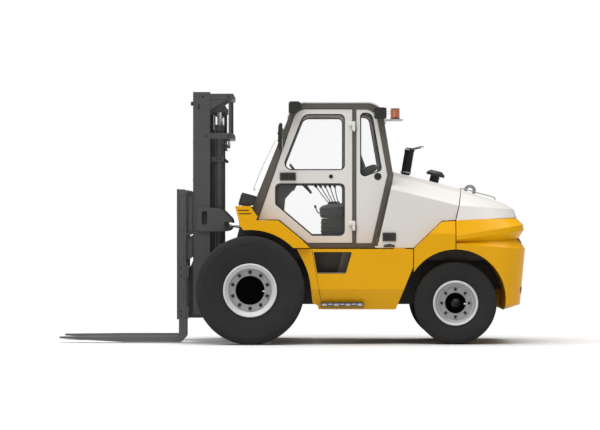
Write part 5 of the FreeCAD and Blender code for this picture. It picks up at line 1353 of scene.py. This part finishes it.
# ---- Lift chains --------------------------------------------------------------------------------
# Leaf chain each side: anchored by an adjusting bolt on the outer mast's cross bar, over a wheel
# on the inner mast's head, and down to a lug on the carriage.

chain_steel = painted("chain_oiled_steel", (0.05, 0.048, 0.045), 0.35, metal=0.7, edge=0.001,
                      wear=0.3, dust=0.05)
CHAIN_Y, WHEEL_Z, WHEEL_X, WHEEL_R, PITCH = 355, 2440, 335, 62, 24


def link(bm, centre, along, wide):
    """One pair of waisted link plates with their pin, in the mast's side plane."""
    up = Vector((-along.z, 0, along.x))
    reach, waist = PITCH / 2000, 0.0085
    ring = [(reach + waist * math.cos(a), waist * math.sin(a))
            for a in (-1.3, -0.6, 0, 0.6, 1.3)]
    ring += [(-x, -y) for x, y in ring]
    for y in wide:
        prism(bm, *([centre + along * p[0] + up * p[1] + Vector((0, (y + d) / 1000, 0))
                     for p in ring] for d in (-1.6, 1.6)))
    pipe(bm, [centre - along * reach + Vector((0, -0.013, 0)),
              centre - along * reach + Vector((0, 0.013, 0))], 3.6, 8)


for side, sign in SIDES:
    y = sign * CHAIN_Y
    rear_x, front_x = WHEEL_X - WHEEL_R, WHEEL_X + WHEEL_R
    bm = bmesh.new()
    count = int((WHEEL_Z - 2130) / PITCH)
    for k in range(count):
        link(bm, at(rear_x, y, WHEEL_Z - PITCH * (k + 0.5)), Vector((0, 0, 1)),
             (-10, -3.4, 3.4, 10) if k % 2 else (-6.7, 0, 6.7))
    rear_run = finished(bm, f"chain_rear_run_{side}", chain_steel, None)
    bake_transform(rear_run)
    bm = bmesh.new()
    arc = math.pi * WHEEL_R
    steps = int(arc / PITCH)
    for k in range(steps):
        a = math.pi * (k + 0.5) / steps
        spot = at(WHEEL_X - WHEEL_R * math.cos(a), y, WHEEL_Z + WHEEL_R * math.sin(a))
        link(bm, spot, Vector((math.sin(a), 0, math.cos(a))),
             (-10, -3.4, 3.4, 10) if k % 2 else (-6.7, 0, 6.7))
    finished(bm, f"chain_wrap_{side}", chain_steel, "mast_slider")
    bm = bmesh.new()
    hub = at(WHEEL_X, y, WHEEL_Z)
    turned(bm, hub, (0, 1, 0), [(-18, 14), (-18, 70), (-14, 70), (-12, 53), (12, 53), (14, 70),
                                (18, 70), (18, 14)], 48, closed=True)
    turned(bm, hub, (0, sign, 0), [(-24, 0), (-24, 20), (-20, 22), (-18, 14), (18, 14), (40, 14),
                                   (40, 0)], 28)
    finished(bm, f"chain_wheel_{side}", mast_paint, "mast_slider")
    bm = bmesh.new()
    low_z = 860
    count = int((WHEEL_Z - low_z) / PITCH)
    for k in range(count):
        link(bm, at(front_x, y, WHEEL_Z - PITCH * (k + 0.5)), Vector((0, 0, 1)),
             (-10, -3.4, 3.4, 10) if k % 2 else (-6.7, 0, 6.7))
    front_run = finished(bm, f"chain_front_run_{side}", chain_steel, None)
    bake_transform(front_run)
    bm = bmesh.new()
    bolt(bm, at(rear_x, y, 2034), (0, 0, -1), 24, 14)
    pipe(bm, [at(rear_x, y, 2028), at(rear_x, y, 2118)], 8, 12)
    block_of(bm, (rear_x - 10, rear_x + 10), (y - 13, y + 13), (2112, 2136), 3)
    block_of(bm, (232, rear_x + 16), (y - 20, y + 20), (2050, 2074), 3)
    plate(bm, [(232, 2190), (238, 2190), (244, 2060), (232, 2060)], y - 18, y + 18, 1.5)
    finished(bm, f"chain_anchor_{side}", mast_paint, "mast")
    bm = bmesh.new()
    block_of(bm, (front_x - 12, front_x + 12), (y - 14, y + 14), (832, 866), 4)
    pipe(bm, [at(front_x, y, 780), at(front_x, y, 836)], 9, 12)
    bolt(bm, at(front_x, y, 790), (0, 0, -1), 26, 16)
    plate(bm, oblong((front_x - 20, 500), (796, 816), 5), sign * 335, sign * 398, 2)
    finished(bm, f"chain_lug_{side}", mast_paint, "carriage")


# ---- Tilt cylinders -----------------------------------------------------------------------------
# Gland rings and rigid oil pipes on the barrels' inner side, and caps round the rods' front eyes,
# painted with the mast.

TILT_PIN_X, TILT_Y, TILT_PIN_Z = -450, 605, 1125
bm = bmesh.new()
reach = Vector((MAST_EYE_X - TILT_PIN_X, 0, MAST_EYE_Z - TILT_PIN_Z)).normalized()
for side, sign in SIDES:
    rear = at(TILT_PIN_X, sign * TILT_Y, TILT_PIN_Z)
    turned(bm, rear + reach * 0.430, reach, [(-30, 41), (-30, 42.6), (-22, 43.2), (8, 43.2),
                                             (10, 41), (10, 24), (0, 24), (0, 41)], 36, closed=True)
    lean = Vector((0, -sign * 0.8, 0.6))
    port, other = rear + reach * 0.39 + lean * 0.042, rear + reach * 0.085 + lean * 0.042
    for spot in (port, other):
        turned(bm, spot, lean, [(-4, 0), (-4, 11), (6, 11), (7, 8), (7, 0)], 6)
    pipe(bm, eased([port + lean * 0.005, port + Vector((-0.03, 0, 0)) + lean * 0.012,
                    other + Vector((0.10, 0, 0)) + lean * 0.012,
                    other + Vector((0.03, 0, 0)) + lean * 0.012, other + lean * 0.005]), 4.5, 10)
finished(bm, "tilt_glands_and_pipes", mast_paint, "tilt_barrel_pair")


bm = bmesh.new()
for side, sign in SIDES:
    turned(bm, at(MAST_EYE_X, sign * 627, MAST_EYE_Z), (0, sign, 0),
           [(-1, 24), (-1, 39), (3, 39), (5, 36), (5, 26), (3, 24)], 36, closed=True)
finished(bm, "tilt_rod_eyes", mast_paint, "tilt_rod_pair")


# ---- Forks and carriage fittings ----------------------------------------------------------------
# Spring pins that lock each fork on the upper bar, side bolts, and the backrest's side channels
# with the guard bar and brackets behind them, welded from plate.

bm = bmesh.new()
for side, sign in SIDES:
    turned(bm, at(706, sign * 400, 829), (0, 0, 1), [(0, 0), (0, 17), (8, 17), (10, 10), (26, 9),
                                                     (28, 14), (38, 14), (40, 10), (40, 0)], 24)
    for z in (700, 780, 290, 335):
        bolt(bm, at(722, sign * 600, z), (0, sign, 0), 17, 9)
finished(bm, "carriage_fasteners", nut_dark, "carriage")
bm = bmesh.new()
for side, sign in SIDES:
    plate(bm, rounded([(668, 262, 4), (764, 262, 4), (764, 1604, 6), (682, 1604, 12),
                       (668, 1584, 6)], 4), sign * 600, sign * 605, 1.5)
    plate(bm, [(744, 264), (764, 264), (764, 1603), (744, 1603)], sign * 604, sign * 609, 2)
    for low_z, top_z in ((1572, 1590), (1130, 1146)):
        block_of(bm, (612, 672), (sign * 556, sign * 602), (low_z, top_z), 3)
    block_of(bm, (608, 650), (sign * 556, sign * 574), (1140, 1580), 3)
    plate(bm, [(669, 1104), (642, 1120), (612, 1092), (608, 1040), (608, 890), (669, 880)],
          sign * 560, sign * 574, 2)
    for z in (905, 862, 560, 470, 1180, 1540):
        bolt(bm, at(706, sign * 605, z), (0, sign, 0), 15, 7)
finished(bm, "backrest_side_channels", mast_paint, "carriage")
